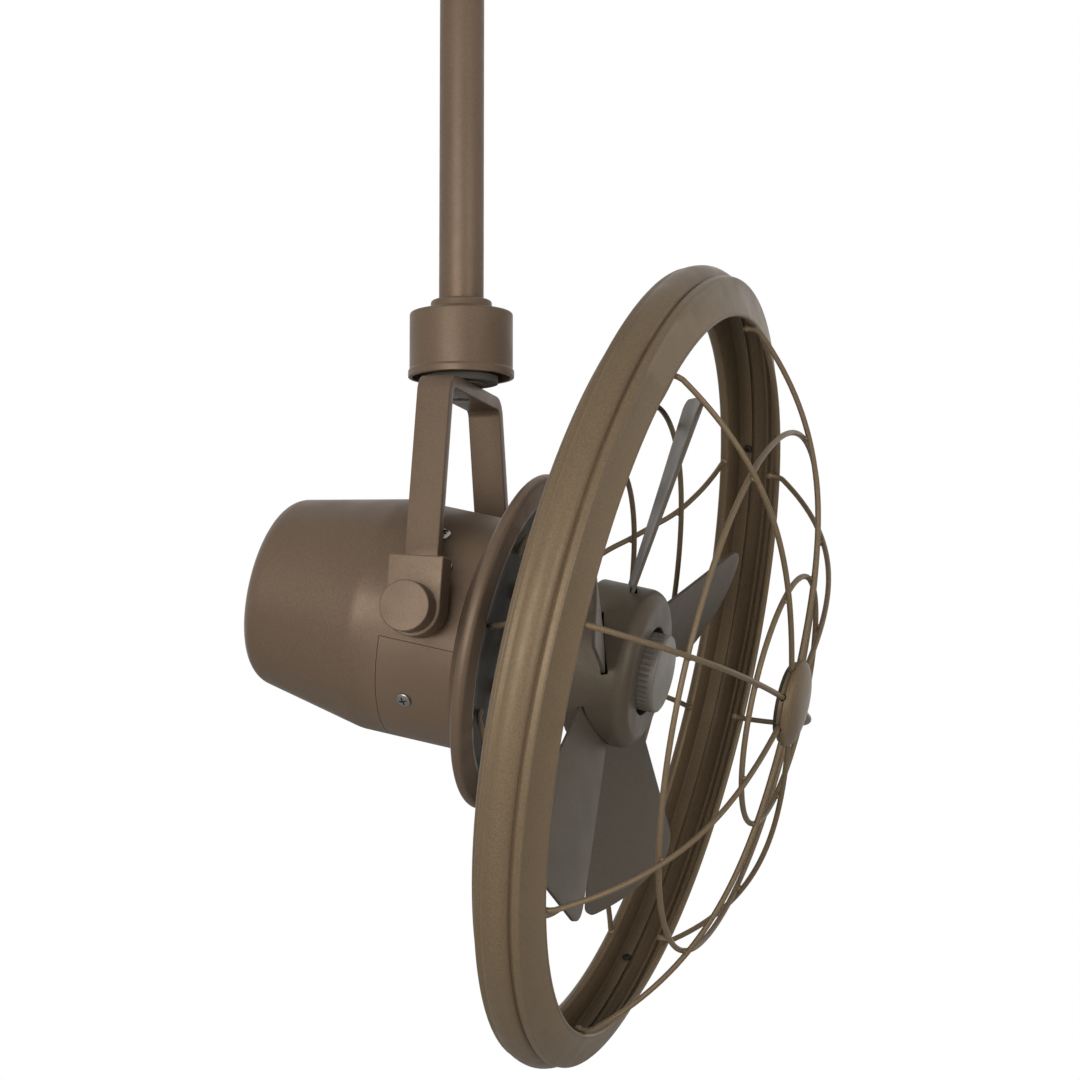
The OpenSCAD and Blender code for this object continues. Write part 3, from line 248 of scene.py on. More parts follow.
# Finished piece: its place goes into the mesh, sharp edges are marked, and it joins its body
def piece(name, bm, material, body, nodes, place=HEAD, sharp=32):
    bmesh.ops.transform(bm, matrix=place, verts=bm.verts[:])
    for face in bm.faces:
        face.smooth = True
    for edge in bm.edges:
        edge.smooth = edge.is_manifold and edge.calc_face_angle(0) < radians(sharp)
    mesh = bpy.data.meshes.new(name)
    bm.to_mesh(mesh)
    bm.free()
    obj = bpy.data.objects.new(name, mesh)
    return placed(obj, material, body, nodes)


# Object that joins its body, with its material and the CAD nodes that it stands in for
def placed(obj, material, body, nodes):
    bpy.context.scene.collection.objects.link(obj)
    obj.data.materials.append(material)
    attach(obj, body)
    if nodes:
        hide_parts(*nodes)
    return obj


# Round wires as one curve: each path is a list of points in the head's frame
def wires(name, paths, material, nodes, cyclic=False, smooth=False):
    curve = bpy.data.curves.new(name, "CURVE")
    curve.dimensions = "3D"
    curve.bevel_depth = WIRE_R * MM
    curve.bevel_resolution = 4
    curve.resolution_u = 8
    curve.use_fill_caps = True
    for path in paths:
        spline = curve.splines.new("BEZIER" if smooth else "POLY")
        points = spline.bezier_points if smooth else spline.points
        points.add(len(path) - 1)
        for point, co in zip(points, path):
            spot = HEAD @ Vector(co)
            if smooth:
                point.co = spot
                point.handle_left_type = point.handle_right_type = "AUTO"
            else:
                point.co = (*spot, 1)
        spline.use_cyclic_u = cyclic
    return placed(bpy.data.objects.new(name, curve), material, "fan_head", nodes)


# Node tree of a new material, with its main shader
def shader(name, rough, metallic):
    material = bpy.data.materials.new(name)
    material.use_nodes = True
    tree = material.node_tree
    bsdf = tree.nodes["Principled BSDF"]
    bsdf.inputs["Metallic"].default_value = metallic
    bsdf.inputs["Roughness"].default_value = rough
    return material, tree, bsdf


# Shader node of a kind, with its links and its values
def add_node(tree, kind, links=None, **values):
    node = tree.nodes.new(kind)
    for key, value in values.items():
        if key in node.inputs:
            node.inputs[key].default_value = value
        else:
            setattr(node, key, value)
    for key, socket in (links or {}).items():
        tree.links.new(socket, node.inputs[key])
    return node


# Noise over the object's own coordinates, as a factor from 0 to 1
def grain(tree, scale, detail=3.0, stretch=(1, 1, 1)):
    place = add_node(tree, "ShaderNodeTexCoord").outputs["Object"]
    spread = add_node(tree, "ShaderNodeMapping", {"Vector": place}, Scale=stretch).outputs["Vector"]
    texture = add_node(tree, "ShaderNodeTexNoise", {"Vector": spread}, Scale=scale, Detail=detail)
    return texture.outputs["Fac"]


# Factor squeezed into a range of values
def ranged(tree, factor, low, high, start=0.3, end=0.7):
    node = add_node(tree, "ShaderNodeMapRange", {"Value": factor})
    for key, value in (("From Min", start), ("From Max", end), ("To Min", low), ("To Max", high)):
        node.inputs[key].default_value = value
    return node.outputs["Result"]


# Mix of two colours or sockets by a factor
def blend(tree, factor, a, b):
    node = tree.nodes.new("ShaderNodeMix")
    node.data_type = "RGBA"
    tree.links.new(factor, node.inputs["Factor"])
    for key, value in (("A", a), ("B", b)):
        socket = [s for s in node.inputs if s.name == key and s.type == "RGBA"][0]
        if isinstance(value, tuple):
            socket.default_value = (*value, 1)
        else:
            tree.links.new(value, socket)
    return [s for s in node.outputs if s.type == "RGBA"][0]


# Sprayed paint or moulded plastic: cloudy colour, fine grain, a painted highlight on sharp edges and a slight
# texture
def coated(name, colour, cloud, flake_and_edge_highlight, rough, metallic, grain_scale=900, bump=0.012, edge_highlight_share=0.35):
    material, tree, bsdf = shader(name, rough, metallic)
    bsdf.inputs["Specular IOR Level"].default_value = 0.1
    fine = grain(tree, grain_scale, 2.0)
    body = blend(tree, ranged(tree, grain(tree, 9.0, 4.0), 0, 1), colour, cloud)
    speckled = blend(tree, ranged(tree, fine, 0, 0.35, 0.35, 0.7), body, flake_and_edge_highlight)
    # Painted highlight: sharp convex edges are lightened towards the third colour, which also tints the fine
    # flakes
    edge = add_node(tree, "ShaderNodeNewGeometry").outputs["Pointiness"]
    painted_edge_highlight = ranged(tree, edge, 0, edge_highlight_share, 0.53, 0.6)
    tree.links.new(blend(tree, painted_edge_highlight, speckled, flake_and_edge_highlight), bsdf.inputs["Base Color"])
    dull = ranged(tree, grain(tree, 60.0, 5.0), rough - 0.05, rough + 0.07)
    tree.links.new(dull, bsdf.inputs["Roughness"])
    texture = add_node(tree, "ShaderNodeBump", {"Height": fine}, Strength=bump * 10, Distance=bump * MM)
    tree.links.new(texture.outputs["Normal"], bsdf.inputs["Normal"])
    return material


# Bare metal: brushed or plated, with faint streaks and dull patches
def bare_metal(name, colour, stain, rough, stretch=(1, 1, 12)):
    material, tree, bsdf = shader(name, rough, 1.0)
    streaks = grain(tree, 220.0, 3.0, stretch)
    patches = ranged(tree, grain(tree, 30.0, 4.0), 0, 0.6)
    tree.links.new(blend(tree, patches, colour, stain), bsdf.inputs["Base Color"])
    tree.links.new(ranged(tree, streaks, rough - 0.08, rough + 0.1), bsdf.inputs["Roughness"])
    texture = add_node(tree, "ShaderNodeBump", {"Height": streaks}, Strength=0.1, Distance=0.02 * MM)
    tree.links.new(texture.outputs["Normal"], bsdf.inputs["Normal"])
    return material


# Coats by their main colour, the cloud in it, the lighter colour of its flakes and of the painted edge
# highlight, roughness and metallic share
BRONZE = coated(
    "bronze_paint", (0.138, 0.095, 0.063), (0.121, 0.084, 0.057), (0.188, 0.132, 0.09), 0.4, 0.28,
)
RING_BRONZE = coated(
    "ring_bronze_paint", (0.142, 0.101, 0.060), (0.124, 0.089, 0.053), (0.23, 0.162, 0.095), 0.38, 0.2,
)
DARK_BRONZE = coated(
    "dark_bronze_paint", (0.036, 0.033, 0.024), (0.030, 0.028, 0.021), (0.07, 0.055, 0.045), 0.5, 0.3,
)
HUB_PLASTIC = coated(
    "hub_plastic", (0.10, 0.079, 0.055), (0.088, 0.070, 0.049), (0.125, 0.10, 0.075), 0.42, 0.25,
)
BLADE_PLASTIC = coated(
    "blade_plastic", (0.112, 0.092, 0.072), (0.10, 0.083, 0.066), (0.15, 0.123, 0.10), 0.45, 0.2,
)
NUT_PLASTIC = coated(
    "nut_plastic", (0.19, 0.17, 0.14), (0.165, 0.148, 0.122), (0.22, 0.195, 0.16), 0.4, 0.25,
)
DULL_BROWN = coated(
    "dull_brown", (0.085, 0.073, 0.059), (0.075, 0.065, 0.053), (0.11, 0.095, 0.08), 0.5, 0.1,
)
BLACK_PLASTIC = coated(
    "black_plastic", (0.028, 0.026, 0.025), (0.022, 0.02, 0.02), (0.05, 0.048, 0.045), 0.5, 0.0,
)
BLACK_STEEL = coated(
    "black_steel", (0.045, 0.043, 0.042), (0.035, 0.033, 0.033), (0.12, 0.11, 0.105), 0.38, 0.7,
)
CAST_ALUMINIUM = coated(
    "cast_aluminium", (0.42, 0.42, 0.43), (0.35, 0.35, 0.36), (0.6, 0.6, 0.6), 0.5, 0.9, 500, 0.05,
)

# Bare metals by their colour, the stain in it and roughness
ZINC = bare_metal("zinc_steel", (0.62, 0.62, 0.60), (0.48, 0.47, 0.44), 0.3)
SCREW_STEEL = bare_metal("screw_steel", (0.30, 0.28, 0.26), (0.15, 0.14, 0.13), 0.2, (1, 1, 1))
CORE_STEEL = bare_metal("core_steel", (0.33, 0.32, 0.31), (0.22, 0.21, 0.2), 0.4)
COPPER = bare_metal("winding_copper", (0.65, 0.30, 0.15), (0.5, 0.2, 0.1), 0.32, (1, 1, 1))
BEARING_STEEL = bare_metal("bearing_steel", (0.72, 0.72, 0.73), (0.6, 0.6, 0.6), 0.18)


def canopy():
    middle_r = CANOPY_R - CANOPY_WALL / 2
    floor_z = -CANOPY_H + CANOPY_WALL / 2
    path = rounded([(middle_r, -GAP), (middle_r, floor_z, CANOPY_ROUND), (CANOPY_HOLE_R, floor_z)], 16)
    shell = lathe(sheet(path, CANOPY_WALL))
    piece("canopy_shell", shell, BRONZE, "ceiling_mount", ["canopy"], WORLD)


def downrod():
    inside_r = ROD_R - ROD_WALL
    ends = 0.6
    outline = rounded([
        (inside_r, ROD_END_Z), (ROD_R, ROD_END_Z, ends), (ROD_R, ROD_TOP_Z, ends), (inside_r, ROD_TOP_Z),
    ], 3)
    piece("rod_tube", lathe(outline, 96), BRONZE, "hung_rod", ["downrod"], WORLD)


def coupling_cover():
    hole_r = ROD_R + 0.05
    top = COVER_SIDE_H + COVER_DOME_H + COLLAR_H
    under = COVER_SIDE_H + COVER_DOME_H * 0.6 - COVER_WALL
    inside_r = COVER_R - COVER_WALL
    outline = rounded([
        (inside_r, 0), (COVER_R + COVER_BEAD, 0, 0.6), (COVER_R + COVER_BEAD, COVER_BEAD_H, 0.8),
        (COVER_R, COVER_BEAD_H + 1.2, 0.8), (COVER_R, COVER_SIDE_H, 1.8),
        (COLLAR_R + 0.4, COVER_SIDE_H + COVER_DOME_H, 0.8), (COLLAR_R, top, 1.6), (hole_r, top, 0.4),
        (hole_r, under), (ROD_R + 4, under, 1), (inside_r, COVER_SIDE_H - COVER_WALL * 2, 2),
    ], 6)
    place = WORLD @ Matrix.Translation((0, 0, COVER_Z))
    piece("cover_shell", lathe(outline), BRONZE, "hung_rod", ["coupling_cover"], place)


def yoke_bar():
    middle_z = BAR_TOP_Z - BAR_T / 2
    knee_z = PIVOT_Z + KNEE_UP
    foot_z = PIVOT_Z - LEG_BELOW
    path = rounded([
        (-LEG_Y, foot_z), (-LEG_Y, knee_z, KNEE_ROUND), (-SHOULDER_Y, middle_z, SHOULDER_ROUND),
        (SHOULDER_Y, middle_z, SHOULDER_ROUND), (LEG_Y, knee_z, KNEE_ROUND), (LEG_Y, foot_z),
    ], 12)
    bm = plate(sheet(path, BAR_T), BAR_W)
    turn = Matrix(((0, 0, 1, -BAR_W / 2), (1, 0, 0, 0), (0, 1, 0, 0), (0, 0, 0, 1)))
    bmesh.ops.transform(bm, matrix=turn, verts=bm.verts[:])
    soften(bm, 0.8)
    hole = joined(
        round_bar(BOLT_R + 0.05, middle_z - BAR_T, middle_z + BAR_T),
        round_bar(BOLT_HEAD_R, middle_z - BAR_T, middle_z - BAR_T / 2 + 0.5),
    )
    bm = carve(bm, hole)
    piece("yoke_flat_bar", bm, BRONZE, "yoke", ["yoke_bar"], WORLD)


# Block with a half-round foot on the outer face of a leg
def lug(name, side):
    half = LUG_W / 2
    foot = [Vector((half * cos(radians(a)), half * sin(radians(a)))) for a in range(186, 360, 6)]
    outline = rounded([(half, 0), (half, LUG_H, 1), (-half, LUG_H, 1), (-half, 0)], 3) + foot
    bm = plate(outline, LUG_FACE_Y - LUG_INNER_Y)
    soften(bm, 0.7, 60)
    lean = Matrix.Rotation(radians(LUG_LEAN), 4, "Y")
    stand = Matrix(((1, 0, 0, 0), (0, 0, side, side * LUG_INNER_Y), (0, 1, 0, 0), (0, 0, 0, 1)))
    bmesh.ops.transform(bm, matrix=lean @ stand, verts=bm.verts[:])
    bmesh.ops.recalc_face_normals(bm, faces=bm.faces[:])
    place = WORLD @ Matrix.Translation((0, 0, PIVOT_Z))
    piece(name + "_block", bm, BRONZE, "yoke", [name], place)


def knob(name, side):
    neck_r, neck_len, edge = KNOB_R * 0.7, 2, 0.7
    outline = rounded([
        (STUD_R + 0.05, 0), (neck_r, 0), (neck_r, neck_len),
        (KNOB_R, neck_len, edge), (KNOB_R, KNOB_LEN, edge), (0, KNOB_LEN),
        (0, KNOB_LEN - 3), (STUD_R + 0.05, KNOB_LEN - 3),
    ], 4)
    turn = Matrix.Rotation(radians(-90 * side), 4, "X")
    place = WORLD @ Matrix.Translation((0, side * KNOB_Y, PIVOT_Z)) @ turn
    piece(name + "_cap", lathe(outline, 96), BRONZE, name, [name], place)


# Shell of the housing by its outer surface, without the window that the lower cover fills
def housing():
    front_edge = (HOUSING_R, HOUSING_FRONT)
    path = rounded([
        front_edge, (HOUSING_R, LOWER_COVER_S), (HOUSING_R, TAPER_S, TAPER_ROUND),
        (REAR_R, REAR_S, REAR_ROUND), (0, REAR_S),
    ], 12)
    shell = lathe(path, 180, closed=False)
    window = [
        f for f in shell.faces
        if f.calc_center_median().z > LOWER_COVER_S and abs(face_angle(f)) < LOWER_COVER_HALF
    ]
    bmesh.ops.delete(shell, geom=window, context="FACES")
    thicken(shell, HOUSING_WALL)
    piece("rear_shell", shell, BRONZE, "fan_head", ["rear_housing"])
    half = radians(LOWER_COVER_HALF) - COVER_GAP / HOUSING_R
    edges = [front_edge, (HOUSING_R, LOWER_COVER_S + COVER_GAP)]
    cover_steps = 78
    cover = lathe(edges, cover_steps, closed=False, angle=2 * half)
    bmesh.ops.rotate(cover, matrix=Matrix.Rotation(-half, 3, "Z"), verts=cover.verts[:])
    thicken(cover, HOUSING_WALL)
    piece("lower_shell", cover, BRONZE, "fan_head", ["lower_cover"])


# Angle of a face's middle from straight down, in degrees
def face_angle(face):
    middle = face.calc_center_median()
    return degrees(Vector((1, 0)).angle_signed(Vector((middle.x, middle.y)), 0))


# A wall inwards from an outer surface that is turned round Z
def thicken(bm, wall):
    middle = max(bm.faces, key=lambda f: f.calc_center_median().xy.length)
    if middle.normal.xy.dot(middle.calc_center_median().xy) < 0:
        bmesh.ops.reverse_faces(bm, faces=bm.faces[:])
    bmesh.ops.solidify(bm, geom=bm.faces[:], thickness=wall)


def dish():
    seat_r = HOUSING_R - HOUSING_WALL - 2.3
    back_s = HOUSING_FRONT + GAP + DISH_WALL / 2
    path = rounded([
        (DISH_HOLE_R, back_s), (seat_r, back_s, 6), (seat_r + 8, back_s + 0.8, 8),
        (DISH_R - 0.6, DISH_EDGE_S - 3.6, 3), (DISH_R - 0.6, DISH_EDGE_S + 1.6, 2.6),
        (DISH_LIP_R + 3, DISH_LIP_S, 2.4), (DISH_LIP_R, DISH_LIP_S - 0.6),
    ], 6)
    piece("dish_pan", lathe(sheet(path, DISH_WALL), 160), BRONZE, "fan_head", ["dish"])
    edge_s = DISH_LIP_S - 0.2 - DISH_WALL - GAP
    path = rounded([
        (PLATE_HOLE_R, RECESS_S), (DISH_LIP_R - 18, RECESS_S, 4), (DISH_LIP_R - 6, RECESS_S + 0.9, 4),
        (DISH_LIP_R + 1.5, edge_s),
    ], 4)
    disc = lathe(sheet(path, DISH_WALL))
    piece("recess_disc", disc, DARK_BRONZE, "fan_head", ["recess_plate"])


def rear_ring():
    flange_r = RING_R - FLANGE_DROP
    path = rounded([
        (BEAD_R + BEAD_ROLL * 0.9, BEAD_S + BEAD_ROLL * 0.4), (flange_r - 8, RING_S - 1.8, 8),
        (flange_r, RING_S, 1.5), (flange_r, RING_S + FLANGE_W),
    ], 5)
    web = lathe(sheet(path, RING_WALL), 192)
    bead = lathe(roll(BEAD_R, BEAD_S, BEAD_ROLL), 192)
    piece("rear_hoop", joined(web, bead), RING_BRONZE, "fan_head", ["rear_ring"])


# Front hoop's corners: out from the band, ahead of the lap, and the round of each
BAND_SHAPE = [
    (-0.4, 1.9, 1.5), (0.4, 5.6, 9), (-1.4, 11.2, 8), (-5.6, 14.7, 0.7), (-3.5, 16.8, 1), (-3.7, 20, 1.2),
    (-7.2, 21.1, 0.8),
]


# Front hoop: a broad round band that laps over the flange, a groove, a ridge and a sloping face
def front_ring():
    band_r = RING_R - RING_WALL / 2
    band = [(band_r + out, LAP_S + ahead, radius) for out, ahead, radius in BAND_SHAPE]
    slope_end = (LIP_R + LIP_ROLL + 0.6, LIP_S + LIP_ROLL / 2)
    path = rounded([(LAP_R, LAP_S)] + band + [slope_end], 8)
    hoop = lathe(sheet(path, RING_WALL), 192)
    lip = lathe(roll(LIP_R + LIP_ROLL, LIP_S, LIP_ROLL), 192)
    piece("front_hoop", joined(hoop, lip), RING_BRONZE, "fan_head", ["front_ring"])


# Place along s of the front guard's curve, and its steepness there
def dome(r):
    return DOME_S - DOME_ROUND * (r / LIP_R) ** 2 - DOME_STEEP * (r / LIP_R) ** 4


def dome_slope(r):
    return -2 * DOME_ROUND * r / LIP_R ** 2 - 4 * DOME_STEEP * r ** 3 / LIP_R ** 4


# Distance along s between a spoke's middle and that of a wire ring that lies on it
def ring_step(slope):
    return 2 * WIRE_R * sqrt(1 + slope * slope)


# Rear guard's curve from the recessed plate: shares of the way out and forwards, from dish to bead
REAR_START, REAR_END = (DISH_LIP_R + 3.5, DISH_LIP_S + 9), (BEAD_R - BEAD_ROLL - GAP, BEAD_S)
REAR_SHAPE = [
    (0, 0), (0.13, 0.18), (0.22, 0.33), (0.34, 0.51), (0.5, 0.74), (0.67, 0.88), (0.85, 0.965), (1, 1),
]
SPOKE_ROOT_S = RECESS_S + DISH_WALL / 2 + WIRE_R + 0.05
REAR_OUT, REAR_AHEAD = REAR_END[0] - REAR_START[0], REAR_END[1] - REAR_START[1]
REAR_CURVE = [(DISH_LIP_R - 19.5, SPOKE_ROOT_S), (DISH_LIP_R - 14.5, SPOKE_ROOT_S + 0.8)] + [
    (REAR_START[0] + REAR_OUT * out, REAR_START[1] + REAR_AHEAD * ahead) for out, ahead in REAR_SHAPE
]


# Place along s of the rear guard's curve, and its steepness there
def rear(r):
    for (r0, s0), (r1, s1) in zip(REAR_CURVE, REAR_CURVE[1:]):
        if r <= r1:
            return s0 + (s1 - s0) * (r - r0) / (r1 - r0)
    return BEAD_S


def rear_slope(r):
    return (rear(r + 3) - rear(r - 3)) / 6


def spoke_angles():
    return [SPOKE_TURN + 360 * k / SPOKES for k in range(SPOKES)]


# The same path of (r, s) points at each spoke's angle
def spokes_of(path):
    return [[at_phi(a) @ Vector((r, 0, s)) for r, s in path] for a in spoke_angles()]


def guard_wires():
    steps = 40
    in_r, out_r = CAP_IN_R - 1, LIP_R - WIRE_R - 0.05
    front = [(in_r + (out_r - 1.5 - in_r) * k / steps) for k in range(steps + 1)]
    bend = [(out_r - 0.3, dome(out_r) - 1), (out_r, dome(out_r) - 2.4), (out_r, LIP_S - LIP_ROLL * 2)]
    path = [(r, dome(r)) for r in front] + bend
    front_hoops = [hoop_points(r, dome(r) - ring_step(dome_slope(r))) for r in FRONT_RINGS]
    rear_hoops = [hoop_points(r, rear(r) + ring_step(rear_slope(r))) for r in REAR_RINGS]
    wires("front_spoke_wires", spokes_of(path), RING_BRONZE, ["front_spokes"])
    wires("rear_spoke_wires", spokes_of(REAR_CURVE), RING_BRONZE, ["rear_spokes"], smooth=True)
    wires("front_ring_wires", front_hoops, RING_BRONZE, ["front_wire_rings"], cyclic=True)
    wires("rear_ring_wires", rear_hoops, RING_BRONZE, ["rear_wire_rings"], cyclic=True)


def hoop_points(r, s, steps=160):
    return [(r * cos(2 * pi * k / steps), r * sin(2 * pi * k / steps), s) for k in range(steps)]


# Small welds where the wires cross, and where they meet the hoops
def welds():
    spots = []
    for r in FRONT_RINGS:
        spots.append((r, dome(r) - ring_step(dome_slope(r)) / 2, 1.9, 1.5))
    for r in REAR_RINGS:
        spots.append((r, rear(r) + ring_step(rear_slope(r)) / 2, 1.9, 1.5))
    spots.append((LIP_R - WIRE_R - 0.3, LIP_S - LIP_ROLL * 2, 2.3, 2.0))
    spots.append((BEAD_R - BEAD_ROLL - 0.6, BEAD_S + 0.4, 2.4, 2.2))
    lumps = []
    for r, s, wide, high in spots:
        for k, angle in enumerate(spoke_angles()):
            lump = bmesh.new()
            bmesh.ops.create_icosphere(lump, subdivisions=2, radius=1)
            for vert in lump.verts:
                vert.co *= 1 + 0.18 * noise.noise(vert.co * 1.7 + Vector((r, k, s)))
            place = at_phi(angle) @ Matrix.Translation((r, 0, s)) @ Matrix.Diagonal((high, wide, high, 1))
            bmesh.ops.transform(lump, matrix=place, verts=lump.verts[:])
            lumps.append(lump)
    piece("weld_beads", joined(*lumps), RING_BRONZE, "fan_head", [])


def guard_cap():
    back_s = DOME_S - WIRE_R - 0.2
    rim_s = back_s + CAP_RIM_H
    steps = 14
    turns = [pi / 2 * k / steps for k in range(1, steps)]
    top = [(CAP_R * cos(turn), rim_s + CAP_DOME_H * sin(turn)) for turn in turns]
    skirt = [(CAP_IN_R, back_s), (CAP_SKIRT_R, back_s), (CAP_SKIRT_R, rim_s - 2.5)]
    rim = [(CAP_R, rim_s - 1.5), (CAP_R, rim_s)]
    inside = [(0, rim_s + CAP_DOME_H), (0, rim_s - 0.5), (CAP_IN_R, rim_s - 0.5)]
    outline = skirt + rim + top + inside
    bm = lathe([Vector(p) for p in outline], 128)
    notches = joined(*[
        round_bar(WIRE_R + 0.6, CAP_IN_R - 3, CAP_R + 3,
                  at_phi(a) @ Matrix.Translation((0, 0, DOME_S - 0.3)) @ Matrix.Rotation(pi / 2, 4, "Y"), 24)
        for a in spoke_angles()
    ])
    piece("guard_cap_shell", carve(bm, notches), RING_BRONZE, "fan_head", ["guard_cap"])


def hub_drum():
    inside_r = DRUM_R - DRUM_WALL
    floor_s = DRUM_FRONT_S - NUT_HOLE_DEPTH
    shaft_hole, boss_r = SHAFT_R + 0.05, 16
    outline = rounded([
        (inside_r, DRUM_BACK_S), (DRUM_R, DRUM_BACK_S, 0.8), (DRUM_R, DRUM_FRONT_S, 9),
        (NUT_HOLE_R, DRUM_FRONT_S, 0.8), (NUT_HOLE_R, floor_s), (shaft_hole, floor_s),
        (shaft_hole, floor_s - 7), (boss_r, floor_s - 7), (boss_r, floor_s - 3),
        (NUT_HOLE_R + DRUM_WALL, floor_s - 3), (NUT_HOLE_R + DRUM_WALL, DRUM_FRONT_S - 4),
        (inside_r - 6, DRUM_FRONT_S - 4), (inside_r, DRUM_FRONT_S - 10),
    ], 10)
    dip = CAMBER * (ROOT_HALF / TIP_HALF) ** 2
    slot_h, slot_half = 2.4 + dip + 1, ROOT_HALF + 0.6
    slot_low, slot_high = (ROOT_IN_R - 1, -slot_half, -slot_h / 2), (DRUM_R + 1, slot_half, slot_h / 2)
    lift = Matrix.Translation((0, 0, ROOT_S - dip / 2))
    slot_place = lift @ Matrix.Rotation(radians(ROOT_PITCH), 4, "X")
    slots = joined(*[
        block(slot_low, slot_high, at_phi(a) @ slot_place) for a in blade_angles()
    ])
    drum = carve(lathe(outline, 160), slots)
    piece("hub_shell", drum, HUB_PLASTIC, "rotor", ["hub_drum"])


def blade_angles():
    return [BLADE_TURN + 360 * k / BLADES for k in range(BLADES)]


# Nut with broad ribs behind a smooth lip and a flat face
def blade_nut():
    back_s = DRUM_FRONT_S - NUT_HOLE_DEPTH + GAP
    bore_r = SHAFT_R - 0.95
    ribs_end_s = NUT_FRONT_S - 3.4
    rib_rows = 6
    rows = [(NUT_R, back_s + (ribs_end_s - back_s) * k / rib_rows) for k in range(rib_rows + 1)]
    outline = [Vector(p) for p in [(bore_r, back_s)] + rows] + rounded([
        (NUT_R, ribs_end_s), (NUT_R - 0.2, NUT_FRONT_S, 1.6), (0, NUT_FRONT_S),
        (0, NUT_FRONT_S - 4), (bore_r, NUT_FRONT_S - 4),
    ], 6)[1:]
    per_rib = 10
    bm = lathe(outline, NUT_RIBS * per_rib)
    depth = 1.1
    for vert in bm.verts:
        r = vert.co.xy.length
        if r > NUT_R - 0.1 and vert.co.z < ribs_end_s - 0.4:
            turn = Vector((1, 0)).angle_signed(vert.co.xy, 0) * NUT_RIBS
            groove = max(0.0, cos(turn)) ** 0.6
            vert.co.xy *= (r - depth * groove) / r
    piece("hub_nut_cap", bm, NUT_PLASTIC, "blade_nut", ["blade_nut"])


# How far the tip's round corner is from the full length, at t across the blade
def tip_corner(t):
    radius = TIP_ROUND if t > 0 else TIP_ROUND_BACK
    past = max(0.0, abs(t) - TIP_HALF + radius)
    return radius - sqrt(max(0.0, radius ** 2 - past ** 2))


# Blade: a hollowed, twisted sheet made from a flat grid, x along it and y across it
def blade(number, angle):
    bm = bmesh.new()
    bmesh.ops.create_grid(bm, x_segments=24, y_segments=48, size=1)
    for vert in bm.verts:
        across = sin(vert.co.y * pi / 2)
        end_r = TIP_R - TIP_CROWN * across ** 2 - tip_corner(across * TIP_HALF)
        x = ROOT_IN_R + (end_r - ROOT_IN_R) * (vert.co.x + 1) / 2
        out = (x - ROOT_R) / (TIP_R - ROOT_R)
        t = across * (ROOT_HALF + (TIP_HALF - ROOT_HALF) * out) - TIP_SWEEP * out
        pitch = radians(ROOT_PITCH + (TIP_PITCH - ROOT_PITCH) * out)
        hollow = CAMBER * (t / TIP_HALF) ** 2
        vert.co = (x, t * cos(pitch), ROOT_S + TIP_AHEAD * out + t * sin(pitch) - hollow - BLADE_T / 2)
    bmesh.ops.recalc_face_normals(bm, faces=bm.faces[:])
    if sum(f.normal.z for f in bm.faces) > 0:
        bmesh.ops.reverse_faces(bm, faces=bm.faces[:])
    bmesh.ops.solidify(bm, geom=bm.faces[:], thickness=BLADE_T)
    soften(bm, 0.6, 60)
    bmesh.ops.transform(bm, matrix=at_phi(angle), verts=bm.verts[:])
    node = f"blade_{number}"
    piece(node + "_sheet", bm, BLADE_PLASTIC, "rotor", [node], HEAD, 45)


# Pan-head screw along +Z with a cross recess, its head's underside at z = 0
def cross_screw(length, radius=SCREW_R, head_r=SCREW_HEAD_R, head_h=SCREW_HEAD_H):
    steps = 8
    turns = [pi / 2 * k / steps for k in range(steps)]
    dome_top = [(head_r * cos(turn), 0.5 + (head_h - 0.5) * sin(turn)) for turn in turns]
    stem = [(0, -length), (radius, -length), (radius, 0), (head_r - 0.2, 0), (head_r, 0.2)]
    outline = stem + dome_top + [(0, head_h)]
    bm = lathe([Vector(p) for p in outline], 40, closed=False)
    arm, reach, deep = head_r * 0.11, head_r * 0.56, head_h * 0.75
    cross = [
        block((-a, -b, head_h - deep), (a, b, head_h + 1)) for a, b in ((arm, reach), (reach, arm))
    ]
    return carve(carve(bm, cross[0]), cross[1])


def screws():
    sink = Matrix.Rotation(pi / 2, 4, "Y")
    out = Matrix.Translation((HOUSING_R + 0.05, 0, 0)) @ sink
    spots = [(phi, -8) for phi in (-133, -43.5, 43.5, 133)] + [(phi, 2) for phi in (-63, 63)]
    places = [
        at_phi(phi) @ Matrix.Translation((0, 0, s)) @ out @ Matrix.Rotation(radians(37 * i), 4, "Z")
        for i, (phi, s) in enumerate(spots)
    ]
    group = repeated(cross_screw(8), places)
    piece("housing_cross_screws", group, SCREW_STEEL, "fan_head", ["housing_screws"])
    under_r = RING_R - FLANGE_DROP - RING_WALL / 2 - GAP
    inward = Matrix.Translation((under_r, 0, LAP_S + 1.8)) @ Matrix.Rotation(-pi / 2, 4, "Y")
    places = [
        at_phi(SPOKE_TURN + 45 + 90 * k) @ inward @ Matrix.Rotation(radians(50 * k), 4, "Z") for k in range(4)
    ]
    group = repeated(cross_screw(RING_R - RING_WALL / 2 - 0.4 - under_r, 1.5, 2.6, 1.7), places)
    piece("ring_cross_screws", group, DARK_BRONZE, "fan_head", ["ring_screws"])
    sunk = Matrix.Translation((0, CANOPY_R + 0.05, CANOPY_SCREW_Z)) @ Matrix.Rotation(-pi / 2, 4, "X")
    places = [Matrix.Rotation(radians(side), 4, "Z") @ sunk for side in (0, 180)]
    group = repeated(cross_screw(5), places)
    piece("canopy_cross_screws", group, SCREW_STEEL, "ceiling_mount", ["canopy_screws"], WORLD)


